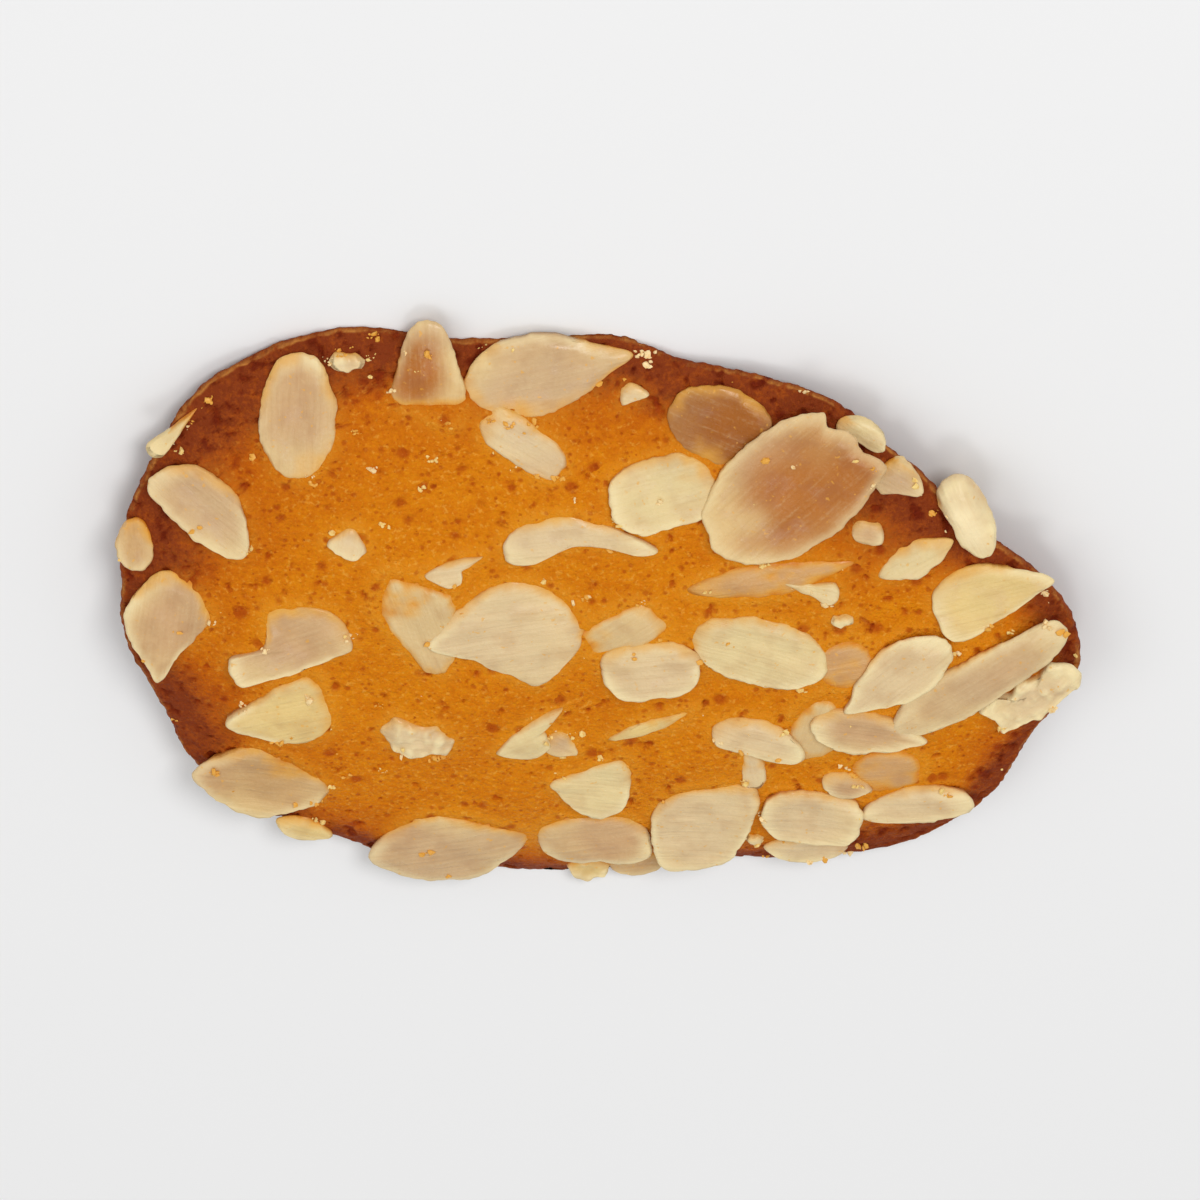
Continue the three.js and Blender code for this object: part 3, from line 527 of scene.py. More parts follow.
class TUILE_OT_biscuit(Operator):
    """Makes the bent biscuit with its pores and browned rim"""

    bl_idname = "tuile.biscuit"
    bl_label = "Make the biscuit"

    COLUMNS, ROWS, CUTS = 104, 80, 2

    # Rounding, fall and raggedness of the rim, and how steeply each grows towards it
    RIM_IN, RIM_IN_POWER = 0.006, 8
    RIM_FALL, RIM_FALL_POWER = 0.32, 24
    RIM_RAGGED, RIM_RAGGED_POWER = 0.3, 40
    RIM_COARSE, RIM_COARSE_DRIFT = 0.7, 1.7
    RIM_FINE, RIM_FINE_DRIFT = 0.5, 2.3
    # Shares of the way out and levels of the rim where the painted highlight along its crest lies
    CREST_SHARES, CREST_LEVELS = (0.995, 1), (0.5, 0.9)

    # Rise of the biscuit round the slices in millimetres, which fades out at the rim
    BEDDING, BEDDING_WIDTH, BEDDING_POWER, EDGE_POINTS = 0.16, 0.6, 12, 96
    # Width in millimetres of the painted glow round the slices
    HALO_WIDTH = 1.0

    # Fine relief in millimetres, and the least noise that makes a pore
    LUMPY, GRAINY, RELIEF_SPREAD, UNDER_RELIEF = 0.05, 0.04, 1.5, 0.05
    SPARSE_LEAST, DENSE_LEAST, DENSE_BAKED = 0.5, 0.3, (0.3, 0.75)
    UNDER_BAKED = (0.4, 0.9)

    def slice_edges(self, context, sheet):
        """The edges of the almond pieces on the flat sheet, which the biscuit rises to a little."""
        tree = kdtree.KDTree(len(PIECES) * self.EDGE_POINTS)
        for index, row in enumerate(PIECES):
            almond = Almond(row, index, sheet, context.scene.tuile_almonds)
            for step in range(self.EDGE_POINTS):
                point = almond.edge_on_sheet(FULL_TURN * step / self.EDGE_POINTS)
                tree.insert(point, index * self.EDGE_POINTS + step)
        tree.balance()
        return tree

    def execute(self, context):
        settings = context.scene.tuile_biscuit
        sheet = Sheet(settings)
        bm = cushion(self.COLUMNS, self.ROWS, 1, self.CUTS)
        bake = bm.verts.layers.float.new("bake")
        pore = bm.verts.layers.float.new("pore")
        crest = bm.verts.layers.float.new("crest")
        halo = bm.verts.layers.float.new("halo")
        edges = self.slice_edges(context, sheet)
        for vert in bm.verts:
            angle, share = disc_place(vert.co)
            level = vert.co.z
            rounding = self.RIM_IN * share ** self.RIM_IN_POWER * (1 - math.sin(math.pi * level))
            ragged = self.RIM_RAGGED * share ** self.RIM_RAGGED_POWER * self.rim_noise(angle, level, sheet)
            reach = share * (1 - rounding) * sheet.rim_radius(angle) + ragged
            along, across = reach * math.cos(angle), reach * math.sin(angle)
            baked = browning(sheet, along, across)
            # The painted highlight along the very crest of the rim
            vert[crest] = smooth_step(*self.CREST_SHARES, share) * smooth_step(*self.CREST_LEVELS, level)
            height = level * sheet.thickness(along, across)
            height *= 1 - self.RIM_FALL * share ** self.RIM_FALL_POWER
            if level > 0:
                vert[bake] = baked
                relief, vert[pore] = self.crust(along, across, baked, settings)
                gap = edges.find((along, across, 0))[2]
                bedding = self.BEDDING * math.exp(-((gap / self.BEDDING_WIDTH) ** 2))
                height += relief * min(1, self.RELIEF_SPREAD * level)
                height += bedding * (1 - share ** self.BEDDING_POWER)
                # How strongly the painted glow round the slices shows here
                vert[halo] = math.exp(-((gap / self.HALO_WIDTH) ** 2))
            else:
                vert[bake] = between(*self.UNDER_BAKED, baked)
                height += self.UNDER_RELIEF * uneven("underside", along, across)
            place = sheet.bend(along, across, height)
            place.z = max(0, place.z)
            vert.co = place
        new_piece("biscuit", bm, biscuit_finish(settings), (NODE,))
        return {"FINISHED"}

    def rim_noise(self, angle, level, sheet):
        """How far the crumbly rim stands out at a place, from -1 to 1."""
        radius = sheet.rim_radius(angle)
        along, across = radius * math.cos(angle), radius * math.sin(angle)
        coarse = uneven("coarse rim", along, across, self.RIM_COARSE_DRIFT * level)
        fine = uneven("fine rim", along, across, self.RIM_FINE_DRIFT * level)
        return self.RIM_COARSE * coarse + self.RIM_FINE * fine

    def crust(self, along, across, baked, settings):
        """Height of the fine relief on the top, in millimetres, and how deep in a pore the place is."""
        sparse = pores("sparse", self.SPARSE_LEAST, along, across)
        dense = pores("dense", self.DENSE_LEAST, along, across) * smooth_step(*self.DENSE_BAKED, baked)
        hole = max(sparse, dense)
        relief = self.LUMPY * uneven("lumpy top", along, across)
        relief += self.GRAINY * uneven("grainy top", along, across)
        relief += settings.crust_relief / MM * baked * uneven("rough crust", along, across)
        return relief - settings.pore_depth / MM * hole, hole


class Almond:
    """One almond piece: its outline, its surface and its place on the biscuit."""

    # Shape, in millimetres or in shares of the thickness
    CONFORM = 0.8
    WAVY, RAGGED, WORN, MOST_WORN, WORN_POWER = 0.3, 0.16, 1.3, 0.3, 8
    RIDGE, BULGE, CUP, TWIST = 0.06, 0.15, 0.35, 0.3
    CURL_RANGE, CUP_RANGE, SUPPLE_WIDTH = (-0.6, 1.4), (-0.8, 1.2), 4
    CURL_REST, CUP_REST, DOME_REST, UNEVEN_CUT = 0.3, 0.5, 0.6, 0.25
    TAPER, TAPER_WIDTH, TAPER_SHARE, TAPER_UNEVEN, LOWER_TAPER = 0.45, 1.3, 0.6, 0.9, 0.15
    TAPER_FACING, TAPER_EDGE = (-0.6, 0.6), (-0.2, 1)
    SUNK_FALL, SUNK_FALL_POWER = 0.3, 4
    DIP_RANGE, DIPPED, STANDING = (0.04, 0.09), 0.05, 5
    LUMPS, DOME = 0.3, 0.7
    ROOT, FREE = 0.15, 0.6

    # Colour: shares, millimetres from the edge, and where a tint starts and ends
    HEART_RANGE, TONE_DRIFT, PALE_DRIFT = (-0.3, 0.3), 0.08, 0.3
    PALE_FROM, ROSY_FROM = (0.3, 1.25), (-0.2, 0.4)
    # Width in millimetres and heights of the painted highlight along raised edges
    LIT_WIDTH, LIT_HEIGHT = 1.3, (0.45, 0.95)
    # Share and noise range of the painted highlight on the crags of lumpy pieces
    LUMP_LIGHT, LUMP_FROM = 0.7, (-0.1, 0.5)
    SOAKED, SOAKED_WIDTH, SOAKED_DRIFT, SOAKED_FACING, DRY_HEIGHT = 0.6, 1.2, 0.5, (-0.1, 0.7), (0.6, 1.1)
    SUNK_CREEP, CREEP, CREEP_DRIFT, CREEP_GOLD, SYRUP_HEIGHT = 0.22, 0.4, 0.1, 0.85, (-0.1, 0.14)

    def __init__(self, row, index, sheet, settings):
        kind, self.along, self.across, self.length, self.width, turn, lift, raised, self.tone = row
        draw = {feature: chance(index + seed) for feature, seed in DRAWS.items()}
        sunk = self.tone in SUNK_BEDS
        self.shape = [Vector((x * self.length / 2, y * self.width / 2)) for x, y in OUTLINES[kind]]
        self.soft = SNAPPED.get(kind, 1.0)
        self.narrow = abs(self.width) / 2
        self.thick = min(OTHER_THICKNESS.get(kind, SLICE_THICKNESS), self.narrow)
        self.seed = 10 * (index + 1)
        self.sheet = sheet
        self.round = settings.edge_round / MM
        supple = 0 if sunk else min(1.0, self.narrow / self.SUPPLE_WIDTH)
        self.curl = settings.curl / MM * between(*self.CURL_RANGE, draw["curl"]) * supple
        self.cup = self.CUP * between(*self.CUP_RANGE, draw["cup"]) * supple
        self.twist = self.TWIST * between(-1, 1, draw["twist"]) * supple
        self.ridge = self.RIDGE * draw["ridge"]
        self.fall = self.SUNK_FALL if sunk else 0
        self.lumps = self.LUMPS if kind in ("chip", "ragged") else 0
        self.dome = self.DOME if kind == "chunk" else 0
        self.bed = SUNK_BEDS.get(self.tone, 0)
        self.creep = self.SUNK_CREEP if sunk else self.CREEP
        self.paling = PALING.get(self.tone, USUAL_PALING)
        self.lit = EDGE_LIGHT.get(self.tone, USUAL_EDGE_LIGHT)
        ways = ("heart along", "heart across")
        self.heart = Vector([between(*self.HEART_RANGE, draw[way]) for way in ways])
        roll = CASUAL_TILT * between(-1, 1, draw["roll"])
        pitch = CASUAL_TILT * between(-1, 1, draw["pitch"]) - math.radians(raised)
        self.lean = Matrix.Rotation(math.radians(turn), 3, "Z") @ Euler((roll, pitch, 0), "ZYX").to_matrix()
        slope = between(*self.DIP_RANGE, draw["dip"])
        depth = max((self.lean @ Vector((*point, 0))).y for point in self.shape)
        self.dip = 0 if raised > self.STANDING else min(slope, max(0, lift + self.DIPPED) / depth)
        self.tangent = Matrix.Rotation(-self.across / sheet.radius, 3, "X")
        self.centre = sheet.bend(self.along, self.across, sheet.thickness(self.along, self.across) + lift)

    def uneven(self, kind, x, y):
        return uneven(kind, x, y, self.seed)

    def outline(self, angle):
        """A place on the piece's edge, its tip towards +X, in millimetres."""
        edge = round_curve(self.shape, angle / FULL_TURN, self.soft)
        stray = self.WAVY * self.uneven("wavy edge", *edge) + self.RAGGED * self.uneven("ragged edge", *edge)
        return edge + edge.normalized() * stray

    def edge_on_sheet(self, angle):
        """A place on the piece's edge, as it lies on the flat sheet."""
        flat = self.lean @ Vector((*self.outline(angle), 0))
        return Vector((self.along + flat.x, self.across + flat.y, 0))

    def place(self, angle, share, level):
        """A point of the piece in metres, with its place in the outline.
        The piece's edge towards +Y dips into the biscuit."""
        edge = self.outline(angle)
        worn = self.round * (1 + self.WORN * self.uneven("worn edge", *edge))
        inset = 0 if 0 < level < 1 else min(self.MOST_WORN, worn / self.narrow) * share ** self.WORN_POWER
        x, y = edge * share * (1 - inset)
        z = (level - 0.5) * self.thick * (1 + self.UNEVEN_CUT * self.uneven("uneven cut", x, y))
        z += self.curl * ((2 * x / self.length) ** 2 - self.CURL_REST)
        z += self.cup * (share * share - self.CUP_REST) + self.twist * 2 * x * y / (self.length * self.narrow)
        z += self.ridge * self.uneven("ridges", x, y) + self.BULGE * self.uneven("bulges", x, y)
        z += level * self.lumps * self.uneven("lumps", x, y)
        z += level * (self.dome * (self.DOME_REST - share * share) - self.thinning(edge, share))
        z -= self.fall * share ** self.SUNK_FALL_POWER
        flat = self.lean @ Vector((x, y, z))
        flat.z -= self.CONFORM * flat.y * flat.y / (2 * self.sheet.radius) + self.dip * flat.y
        point = self.centre + MM * (self.tangent @ flat)
        if level == 0:
            point += self.tangent @ Vector((0, 0, MM * self.settling(point)))
        return point, x, y

    def thinning(self, edge, share):
        """How much thinner the piece is near its edge, mostly on the side towards +Y."""
        facing = smooth_step(*self.TAPER_FACING, (self.lean @ Vector((*edge.normalized(), 0))).y)
        most = self.TAPER * self.thick * (1 + self.TAPER_UNEVEN * self.uneven("thin edge", *edge))
        width = min(self.TAPER_WIDTH, self.TAPER_SHARE * self.narrow)
        near = 1 - smooth_step(*self.TAPER_EDGE, (1 - share) * self.narrow / width)
        return most * between(self.LOWER_TAPER, 1, facing) * near

    def settling(self, point):
        """How far the underside reaches down at a point, so that biscuit holds a piece that lies close."""
        gap = self.sheet.flatten(point)[2]
        return -max(0, gap + self.ROOT) * (1 - smooth_step(self.FREE / 2, self.FREE, gap))

    def flesh(self, settings, x, y, share, point):
        """Colour of the piece at a point: painted highlight at raised edges, golden where biscuit has crept
        onto it.
        """
        edge, pink, milk_and_highlight, gold, syrup = (
            Vector(getattr(settings, name)) for name in ("edge", "pink", "milk_and_highlight", "gold", "syrup")
        )
        along, across, height = self.sheet.flatten(point)
        inside = (1 - share) * self.narrow
        tone = Vector(getattr(settings, self.tone)) * (1 + self.TONE_DRIFT * self.uneven("tone", x, y))
        off = (Vector((2 * x / self.length, y / self.narrow)) - self.heart).length
        pale = smooth_step(*self.PALE_FROM, off + self.PALE_DRIFT * self.uneven("paling", x, y))
        rosy = smooth_step(*self.ROSY_FROM, self.uneven("rosy", x, y))
        colour = tone.lerp(edge.lerp(pink, rosy), pale * self.paling)
        # Painted highlight along the raised edge
        rim = 1 - smooth_step(0, self.LIT_WIDTH, inside)
        colour = colour.lerp(milk_and_highlight, self.lit * rim * smooth_step(*self.LIT_HEIGHT, height))
        # Painted highlight on the crags of lumpy pieces
        if self.lumps:
            lump_highlight = smooth_step(*self.LUMP_FROM, self.uneven("lumps", x, y))
            colour = colour.lerp(milk_and_highlight, self.LUMP_LIGHT * lump_highlight)
        if self.sheet.rim_share(along, across) == 1:
            return colour
        stray = self.uneven("creep", x, y)
        facing = 1 if self.fall else (self.lean @ Vector((x, y, 0)).normalized()).y
        soaked = 1 - smooth_step(0, self.SOAKED_WIDTH, inside + self.SOAKED_DRIFT * stray)
        soaked *= smooth_step(*self.SOAKED_FACING, facing) * (1 - smooth_step(*self.DRY_HEIGHT, height))
        colour = colour.lerp(gold, self.SOAKED * soaked)
        height += self.CREEP_DRIFT * stray - self.bed
        colour = colour.lerp(gold, self.CREEP_GOLD * (1 - smooth_step(0, self.creep, height)))
        return colour.lerp(syrup, 1 - smooth_step(*self.SYRUP_HEIGHT, height))


class TUILE_OT_almonds(Operator):
    """Makes the almond slices, slivers and chips that are baked onto the biscuit"""

    bl_idname = "tuile.almonds"
    bl_label = "Make the almonds"

    EDGE_WIDTH = 0.5
    LEAST_COLUMNS, LEAST_ROWS, RIM_RINGS = 8, 6, 3
    GRAIN_SHIFT = 10

    def execute(self, context):
        settings = context.scene.tuile_almonds
        sheet = Sheet(context.scene.tuile_biscuit)
        almonds = bmesh.new()
        for index, row in enumerate(PIECES):
            self.add(almonds, Almond(row, index, sheet, settings), settings)
        new_piece("almonds", almonds, almond_finish(settings), (NODE,))
        return {"FINISHED"}

    def add(self, almonds, almond, settings):
        step = settings.step / MM
        columns = max(self.LEAST_COLUMNS, round(almond.length / step))
        rows = max(self.LEAST_ROWS, round(2 * almond.narrow / step))
        bm = cushion(columns, rows, self.RIM_RINGS)
        colour = bm.verts.layers.float_color.new("tone")
        edge = bm.verts.layers.float.new("edge")
        grain = bm.loops.layers.uv.new("grain")
        places = {}
        for vert in bm.verts:
            angle, share = disc_place(vert.co)
            point, x, y = almond.place(angle, share, vert.co.z)
            vert[colour] = (*almond.flesh(settings, x, y, share, point), 1)
            vert[edge] = 1 - smooth_step(0, self.EDGE_WIDTH, (1 - share) * almond.narrow)
            vert.co = point
            places[vert] = (x + self.GRAIN_SHIFT * almond.seed, y)
        for face in bm.faces:
            for loop in face.loops:
                loop[grain].uv = places[loop.vert]
        piece = bpy.data.meshes.new("almond")
        bm.to_mesh(piece)
        bm.free()
        almonds.from_mesh(piece)
        bpy.data.meshes.remove(piece)


class TUILE_OT_crumbs(Operator):
    """Scatters clusters of loose crumbs over the top of the tuile"""

    bl_idname = "tuile.crumbs"
    bl_label = "Scatter the crumbs"

    # Shares of the clusters at the slices and at the rim, and how far they stray from there
    AT_SLICES, AT_RIM = 0.5, 0.2
    STRAY, RIM_BAND, RIM_REACH = 0.8, 0.04, 0.985

    # Half spread of a cluster in millimetres, the least size of coarse crumbs, and how rare large ones are
    SPREAD_ALONG, SPREAD_ACROSS, COARSE, RARITY = 0.55, 0.33, 0.45, 2.5
    TONES, TONE_RARITY, NUMBER_RARITY = ("golden", "pale", "sugar"), 1.6, 3

    # Height in millimetres that crumbs fall from, and shares of their size
    DROP, SET_ON, ROUGH, ROUGH_SIZE, TUMBLE = 12, 0.12, 0.8, 0.35, 0.6
    WIDTHS, HEIGHTS = (0.5, 0.9), (0.4, 0.7)

    # Seeds: steps from cluster to cluster and from crumb to crumb, and where their draws start
    CLUSTER_STEP, CLUSTER_START, CRUMB_STEP, CRUMB_START = 17, 0.37, 7, 0.61
    MOST_IN_CLUSTER, ROUGH_STEP = 40, 3.7

    def execute(self, context):
        settings = context.scene.tuile_crumbs
        self.sheet = Sheet(context.scene.tuile_biscuit)
        almonds = context.scene.tuile_almonds
        self.slices = [Almond(row, index, self.sheet, almonds) for index, row in enumerate(PIECES)]
        depsgraph = context.evaluated_depsgraph_get()
        ground = (bpy.data.objects["biscuit"], bpy.data.objects["almonds"])
        self.trees = [BVHTree.FromObject(piece, depsgraph) for piece in ground]
        crumbs = bmesh.new()
        colour = crumbs.verts.layers.float_color.new("tone")
        clusters = (*CRUMB_CLUSTERS, *self.strewn(settings))
        for seed, (along, across, number, tone) in enumerate(clusters):
            least = self.COARSE if seed < len(CRUMB_CLUSTERS) else 0
            for crumb in range(number):
                made = self.drop(crumbs, self.MOST_IN_CLUSTER * seed + crumb, least, settings, along, across)
                for vert in made:
                    vert[colour] = (*getattr(settings, tone), 1)
        new_piece("crumbs", crumbs, crumb_finish(settings), smooth=False)
        return {"FINISHED"}

    def strewn(self, settings):
        """Rows like those of the clusters that stand out, for the smaller ones all over the top."""
        for cluster in range(settings.clusters):
            draw = [chance(self.CLUSTER_STEP * cluster + k + self.CLUSTER_START) for k in range(6)]
            number = 1 + int(settings.most * draw[5] ** self.NUMBER_RARITY)
            tone = self.TONES[int(len(self.TONES) * draw[4] ** self.TONE_RARITY)]
            yield (*self.middle(*draw[:4]), number, tone)

    def middle(self, kind, turn, place, stray):
        """Middle of a cluster on the flat sheet: at the edge of a slice, at the rim or anywhere."""
        angle = FULL_TURN * turn
        if kind < self.AT_SLICES:
            edge = self.slices[int(place * len(self.slices))].edge_on_sheet(angle)
            aside = self.STRAY * (stray - 0.5)
            return edge.x + aside, edge.y + aside
        at_rim = kind < self.AT_SLICES + self.AT_RIM
        share = 1 - self.RIM_BAND * place if at_rim else math.sqrt(place)
        reach = self.RIM_REACH * share * self.sheet.rim_radius(angle)
        return reach * math.cos(angle), reach * math.sin(angle)

    def drop(self, crumbs, seed, least, settings, along, across):
        """Drops a crumb onto what lies there, and gives its vertices, or none where it falls past the rim."""
        draw = [chance(self.CRUMB_STEP * seed + k + self.CRUMB_START) for k in range(8)]
        along += self.SPREAD_ALONG * between(-1, 1, draw[0])
        across += self.SPREAD_ACROSS * between(-1, 1, draw[1])
        above = self.sheet.bend(along, across, self.DROP)
        down = (self.sheet.bend(along, across, 0) - above).normalized()
        hits = [tree.ray_cast(above, down) for tree in self.trees]
        found = [hit for hit in hits if hit[0] is not None]
        if not found:
            return ()
        place, normal = min(found, key=lambda hit: hit[3])[:2]
        size = between(settings.smallest, settings.largest, max(least, draw[2] ** self.RARITY))
        made = bmesh.ops.create_icosphere(crumbs, subdivisions=1, radius=size / 2)["verts"]
        tumble = [self.TUMBLE * between(-1, 1, share) for share in draw[3:5]]
        turn = Euler((*tumble, FULL_TURN * draw[5])).to_matrix()
        form = Vector((1, between(*self.WIDTHS, draw[6]), between(*self.HEIGHTS, draw[7])))
        for vert in made:
            shift = Vector((self.ROUGH_STEP * seed, 0, 0))
            rough = noise.noise(vert.co / (self.ROUGH_SIZE * size) + shift)
            grain = turn @ (vert.co * form * (1 + self.ROUGH * rough))
            vert.co = place + normal * size * self.SET_ON + grain
        return made


class Term:
    """A socket used like a number: an operator on it adds a Math node."""

    def __init__(self, finish, socket):
        self.finish = finish
        self.socket = socket

    def math(self, operation, first, second):
        return self.finish.node("ShaderNodeMath", {"operation": operation}, {0: first, 1: second})

    def __add__(self, other):
        return self.math("ADD", self, other)

    def __sub__(self, other):
        return self.math("SUBTRACT", self, other)

    def __rsub__(self, other):
        return self.math("SUBTRACT", other, self)

    def __mul__(self, other):
        return self.math("MULTIPLY", self, other)

    def __pow__(self, other):
        return self.math("POWER", self, other)

    __radd__ = __add__
    __rmul__ = __mul__


class Finish:
    """A material whose node tree is built from expressions."""

    def __init__(self, name):
        self.material = bpy.data.materials.new(name)
        self.material.use_nodes = True
        self.tree = self.material.node_tree
        self.shader = self.tree.nodes["Principled BSDF"]

    def node(self, kind, settings=(), inputs=(), output=0):
        """Adds a node: its settings first, then the values or links of its sockets."""
        made = self.tree.nodes.new(kind)
        for key, value in dict(settings).items():
            if key == "stops":
                self.set_stops(made.color_ramp, value)
            else:
                setattr(made, key, value)
        for key, value in dict(inputs).items():
            self.feed(made.inputs[key], value)
        return Term(self, made.outputs[output])

    def set_stops(self, ramp, stops):
        while len(ramp.elements) < len(stops):
            ramp.elements.new(1)
        for element, (position, colour) in zip(ramp.elements, stops):
            element.position = position
            element.color = (*colour, 1)

    def feed(self, socket, value):
        if isinstance(value, Term):
            self.tree.links.new(value.socket, socket)
        else:
            socket.default_value = value

    def set(self, **sockets):
        for name, value in sockets.items():
            self.feed(self.shader.inputs[name.replace("_", " ")], value)

    def attribute(self, name, output="Fac"):
        return self.node("ShaderNodeAttribute", {"attribute_name": name}, output=output)

    def object_place(self):
        return self.node("ShaderNodeTexCoord", output="Object")

    def noise(self, place, size, detail=2.0, roughness=0.5):
        """Noise from 0 to 1 whose lumps are about that many millimetres across."""
        values = {"Vector": place, "Scale": 1 / (size * MM), "Detail": detail, "Roughness": roughness}
        return self.node("ShaderNodeTexNoise", {}, values)

    def stray(self, place, size, amount):
        """The place, moved about by up to that many millimetres either way."""
        values = {"Vector": place, "Scale": 1 / (size * MM)}
        drift = self.node("ShaderNodeTexNoise", {}, values, output="Color")
        moved = {0: drift, 1: (2 * amount * MM,) * 3, 2: place}
        return self.node("ShaderNodeVectorMath", {"operation": "MULTIPLY_ADD"}, moved)

    def cells(self, place, size, output="Distance"):
        """Cells about that many millimetres across: distance from the nearest middle, or another output."""
        values = {"Vector": place, "Scale": 1 / (size * MM)}
        return self.node("ShaderNodeTexVoronoi", {}, values, output=output)

    def pits(self, place, size, largest):
        """Round pits, 1 in their middle: one to a cell of about that many millimetres, most of them small."""
        reach = self.cells(place, size, "Color") ** 3 * largest
        return self.span(self.cells(place, size), reach, reach * 0.3)

    def span(self, value, low, high, start=0.0, end=1.0):
        values = {"Value": value, "From Min": low, "From Max": high, "To Min": start, "To Max": end}
        return self.node("ShaderNodeMapRange", {"interpolation_type": "SMOOTHSTEP"}, values)

    def mix(self, factor, first, second, blend="MIX"):
        """Mixes two colours."""
        first = first if isinstance(first, Term) else (*first, 1)
        second = second if isinstance(second, Term) else (*second, 1)
        settings = {"data_type": "RGBA", "blend_type": blend}
        return self.node("ShaderNodeMix", settings, {0: factor, 6: first, 7: second}, output=2)

    def bump(self, height, distance, strength):
        """Relief that is that many millimetres deep."""
        values = {"Height": height, "Distance": distance * MM, "Strength": strength}
        return self.node("ShaderNodeBump", {}, values)


def biscuit_finish(settings):
    """Golden baked crumb, brown and rough towards the rim."""
    finish = Finish("baked_biscuit")
    place = finish.object_place()
    baked = finish.attribute("bake")
    hole = finish.attribute("pore")
    crest = finish.attribute("crest")
    halo = finish.attribute("halo")
    patches = finish.noise(place, 5, 3)
    mottle = finish.noise(place, 1.1, 4, 0.65)
    grain = finish.noise(place, 0.35, 3, 0.6)
    strayed = finish.stray(place, 0.6, 0.2)
    pinhole = finish.pits(strayed, 0.7, 0.9)
    spots = finish.pits(strayed, 1.9, 0.8)
    meal = finish.span(finish.noise(place, 0.5, 2), 0.55, 0.75)
    crumb = finish.cells(finish.stray(place, 0.5, 0.35), 0.5)
    level = baked * 0.8 + 0.18 + (patches - 0.5) * 0.25 + (mottle - 0.5) * 0.55 + (grain - 0.5) * 0.45
    stops = (
        (0.0, settings.golden),
        (0.24, settings.amber),
        (0.52, settings.russet),
        (0.8, settings.brown),
        (1.0, settings.dark),
    )
    ramp = finish.node("ShaderNodeValToRGB", {"stops": stops}, {"Fac": level}, output="Color")
    # Painted glow: lighter golden patches in the biscuit round the slices
    glow = halo * (1 - baked) * finish.span(mottle + grain, 0.75, 1.2, 0.1, 0.6)
    ringed = finish.mix(glow, ramp, settings.halo)
    # Painted highlight: a lighter, broken line along the rim's crest
    highlighted = finish.mix(crest * finish.span(mottle + patches, 0.85, 1.2) * 0.7, ringed, settings.crest)
    mealy = finish.mix(meal * (1 - baked) * 0.5, highlighted, settings.meal)
    # Painted shade in the pits and pores
    pricked = finish.mix(pinhole * 0.6, mealy, settings.shade, "MULTIPLY")
    spotted = finish.mix(spots * 0.8, pricked, settings.shade, "MULTIPLY")
    pitted = finish.mix(hole * 0.9, spotted, settings.shade, "MULTIPLY")
    relief = grain * 0.7 + mottle * 0.7 - crumb * 0.5 - pinhole * 0.2 - spots * 0.4
    finish.set(
        Base_Color=pitted,
        Roughness=finish.span(mottle + baked * 0.2, 0.2, 0.9, 0.42, 0.66),
        Normal=finish.bump(relief, 0.3, 0.8),
        Subsurface_Weight=0.08,
        Subsurface_Radius=(1.0, 0.3, 0.05),
        Subsurface_Scale=0.8 * MM,
        Specular_IOR_Level=0.07,
    )
    return finish.material


def almond_finish(settings):
    """Sliced almond: cream flesh with a fine grain, a painted highlight on raised edges carried in its tone,
    dusted with golden specks.
    """
    finish = Finish("almond_flesh")
    place = finish.object_place()
    tone = finish.attribute("tone", "Color")
    edge = finish.attribute("edge")
    along = finish.node("ShaderNodeUVMap", {"uv_map": "grain"})
    stretched = finish.node("ShaderNodeMapping", {}, {"Vector": along, "Scale": (0.22, 2.4, 1)})
    lines = finish.node("ShaderNodeTexNoise", {}, {"Vector": stretched, "Scale": 1.0, "Detail": 5.0})
    blotches = finish.noise(place, 2.6, 3)
    fine = finish.noise(place, 0.4, 3)
    specks = finish.noise(place, 0.55, 1)
    rosy = finish.mix(finish.span(blotches, 0.42, 0.72) * 0.25, tone, settings.pink, "MULTIPLY")
    dark = finish.mix(finish.span(lines, 0.5, 0.3) * 0.1, rosy, settings.tan, "MULTIPLY")
    light = finish.mix(finish.span(lines + fine * 0.5, 0.75, 1.1) * 0.14, dark, settings.milk_and_highlight)
    dust = finish.span(specks, 0.66, 0.76) * finish.span(blotches, 0.4, 0.55) * 0.6
    dusted = finish.mix(dust, light, settings.gold)
    finish.set(
        Base_Color=dusted,
        Roughness=finish.span(fine + blotches, 0.6, 1.4, 0.2, 0.42) + edge * 0.25,
        Normal=finish.bump(lines * 0.7 + fine * 0.4, 0.2, 0.8),
        Coat_Weight=finish.span(blotches + fine * 0.3, 0.6, 0.8) * 0.4,
        Coat_Roughness=0.2,
        Subsurface_Weight=0.06,
        Subsurface_Radius=(1.0, 0.75, 0.5),
        Subsurface_Scale=0.5 * MM,
        Specular_IOR_Level=0.2,
    )
    return finish.material


def crumb_finish(settings):
    """Dry crumbs, each lighter and darker in places."""
    finish = Finish("crumbs")
    place = finish.object_place()
    tone = finish.attribute("tone", "Color")
    fine = finish.noise(place, 0.3, 2)
    finish.set(
        Base_Color=finish.mix(finish.span(fine, 0.45, 0.7) * 0.5, tone, settings.golden),
        Roughness=finish.span(fine, 0.3, 0.7, 0.35, 0.7),
        Normal=finish.bump(fine, 0.1, 0.5),
    )
    return finish.material


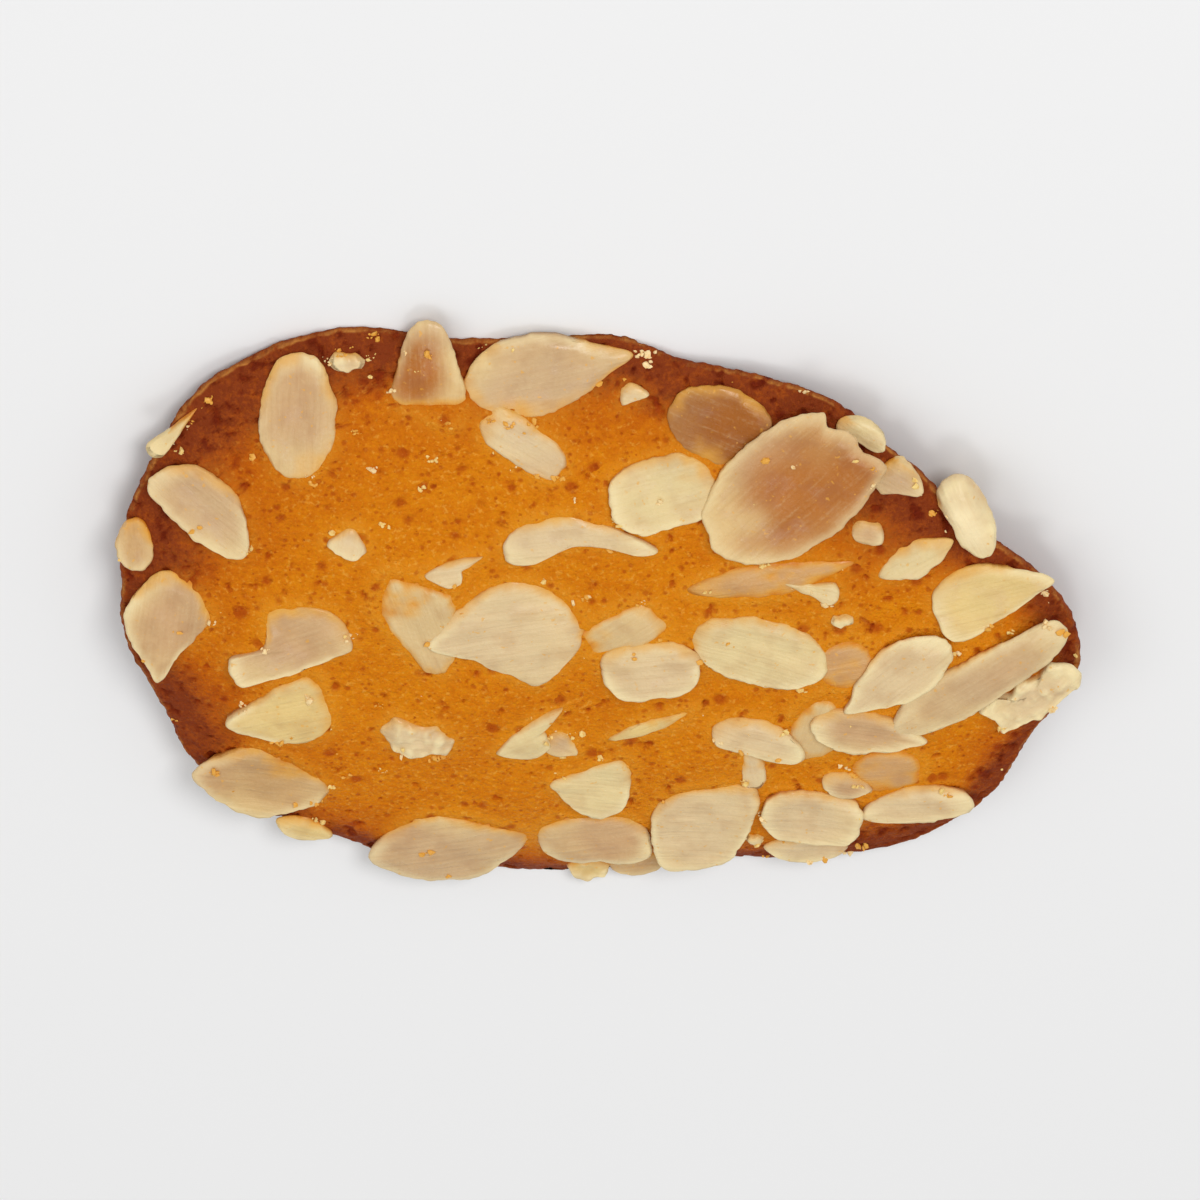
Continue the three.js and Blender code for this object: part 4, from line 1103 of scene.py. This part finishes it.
class TUILE_OT_stage(Operator):
    """Makes the floor, the soft light and the camera"""

    bl_idname = "tuile.stage"
    bl_label = "Set the stage"

    FLOOR_SIZE = 3.0
    SENSOR = 36.0
    AIM_HEIGHT = 1 * MM

    # Each lamp: its place and size in metres
    LAMPS = {
        "key": ((0.3, 0.7, 0.85), 0.45),
        "fill": ((-0.6, 0.2, 0.8), 0.7),
        "top": ((0.1, -0.3, 1.1), 0.4),
    }

    def execute(self, context):
        settings = context.scene.tuile_stage
        self.floor(settings)
        self.camera(context, settings)
        for name, (place, size) in self.LAMPS.items():
            self.lamp(name, place, size, getattr(settings, name))
        world = bpy.data.worlds.new("pale_room")
        world.use_nodes = True
        background = world.node_tree.nodes["Background"]
        background.inputs["Color"].default_value = (1, 1, 1, 1)
        background.inputs["Strength"].default_value = settings.sky
        context.scene.world = world
        context.scene.view_settings.view_transform = "Standard"
        return {"FINISHED"}

    def floor(self, settings):
        bm = bmesh.new()
        bmesh.ops.create_grid(bm, x_segments=1, y_segments=1, size=self.FLOOR_SIZE / 2)
        mesh = bpy.data.meshes.new("floor")
        bm.to_mesh(mesh)
        bm.free()
        finish = Finish("pale_floor")
        finish.set(Base_Color=(*settings.floor, 1), Roughness=0.9, Specular_IOR_Level=0.1)
        mesh.materials.append(finish.material)
        floor = bpy.data.objects.new("floor", mesh)
        bpy.context.scene.collection.objects.link(floor)

    def camera(self, context, settings):
        data = bpy.data.cameras.new("camera")
        data.lens = settings.lens
        data.sensor_width = self.SENSOR
        camera = bpy.data.objects.new("camera", data)
        low, high = CAD_BOX
        width = (high.x - low.x) / settings.share
        distance = width * settings.lens / self.SENSOR
        turn = Matrix.Rotation(-settings.lean, 4, "X")
        aim = Vector((0, 0, low.z + self.AIM_HEIGHT))
        camera.matrix_world = Matrix.Translation(aim + turn @ Vector((0, 0, distance))) @ turn
        context.scene.collection.objects.link(camera)
        context.scene.camera = camera

    def lamp(self, name, place, size, power):
        data = bpy.data.lights.new(name, "AREA")
        data.shape = "DISK"
        data.size = size
        data.energy = power
        lamp = bpy.data.objects.new(name, data)
        lamp.location = place
        lamp.rotation_euler = (-Vector(place)).to_track_quat("-Z", "Y").to_euler()
        bpy.context.scene.collection.objects.link(lamp)


class TUILE_PT_panel(Panel):
    """Sizes and colours of the tuile, and the steps that make it"""

    bl_idname = "TUILE_PT_panel"
    bl_label = "Almond tuile"
    bl_space_type = "VIEW_3D"
    bl_region_type = "UI"
    bl_category = "Tuile"

    def draw(self, context):
        for operator, group in STEPS:
            box = self.layout.box()
            box.operator(operator.bl_idname)
            settings = getattr(context.scene, group)
            for name in settings.bl_rna.properties.keys():
                if name not in ("rna_type", "name"):
                    box.prop(settings, name)


# Each step with the settings that it reads
STEPS = (
    (TUILE_OT_biscuit, "tuile_biscuit"),
    (TUILE_OT_almonds, "tuile_almonds"),
    (TUILE_OT_crumbs, "tuile_crumbs"),
    (TUILE_OT_stage, "tuile_stage"),
)
GROUPS = {
    "tuile_biscuit": TuileBiscuitSettings,
    "tuile_almonds": TuileAlmondSettings,
    "tuile_crumbs": TuileCrumbSettings,
    "tuile_stage": TuileStageSettings,
}
CLASSES = (*GROUPS.values(), *(operator for operator, group in STEPS), TUILE_PT_panel)


def register():
    for cls in CLASSES:
        bpy.utils.register_class(cls)
    for name, group in GROUPS.items():
        setattr(bpy.types.Scene, name, PointerProperty(type=group))


def unregister():
    for name in GROUPS:
        delattr(bpy.types.Scene, name)
    for cls in reversed(CLASSES):
        bpy.utils.unregister_class(cls)


def main():
    register()
    bpy.ops.tuile.biscuit()
    bpy.ops.tuile.almonds()
    bpy.ops.tuile.crumbs()
    bpy.ops.tuile.stage()


if __name__ == "__main__":
    main()
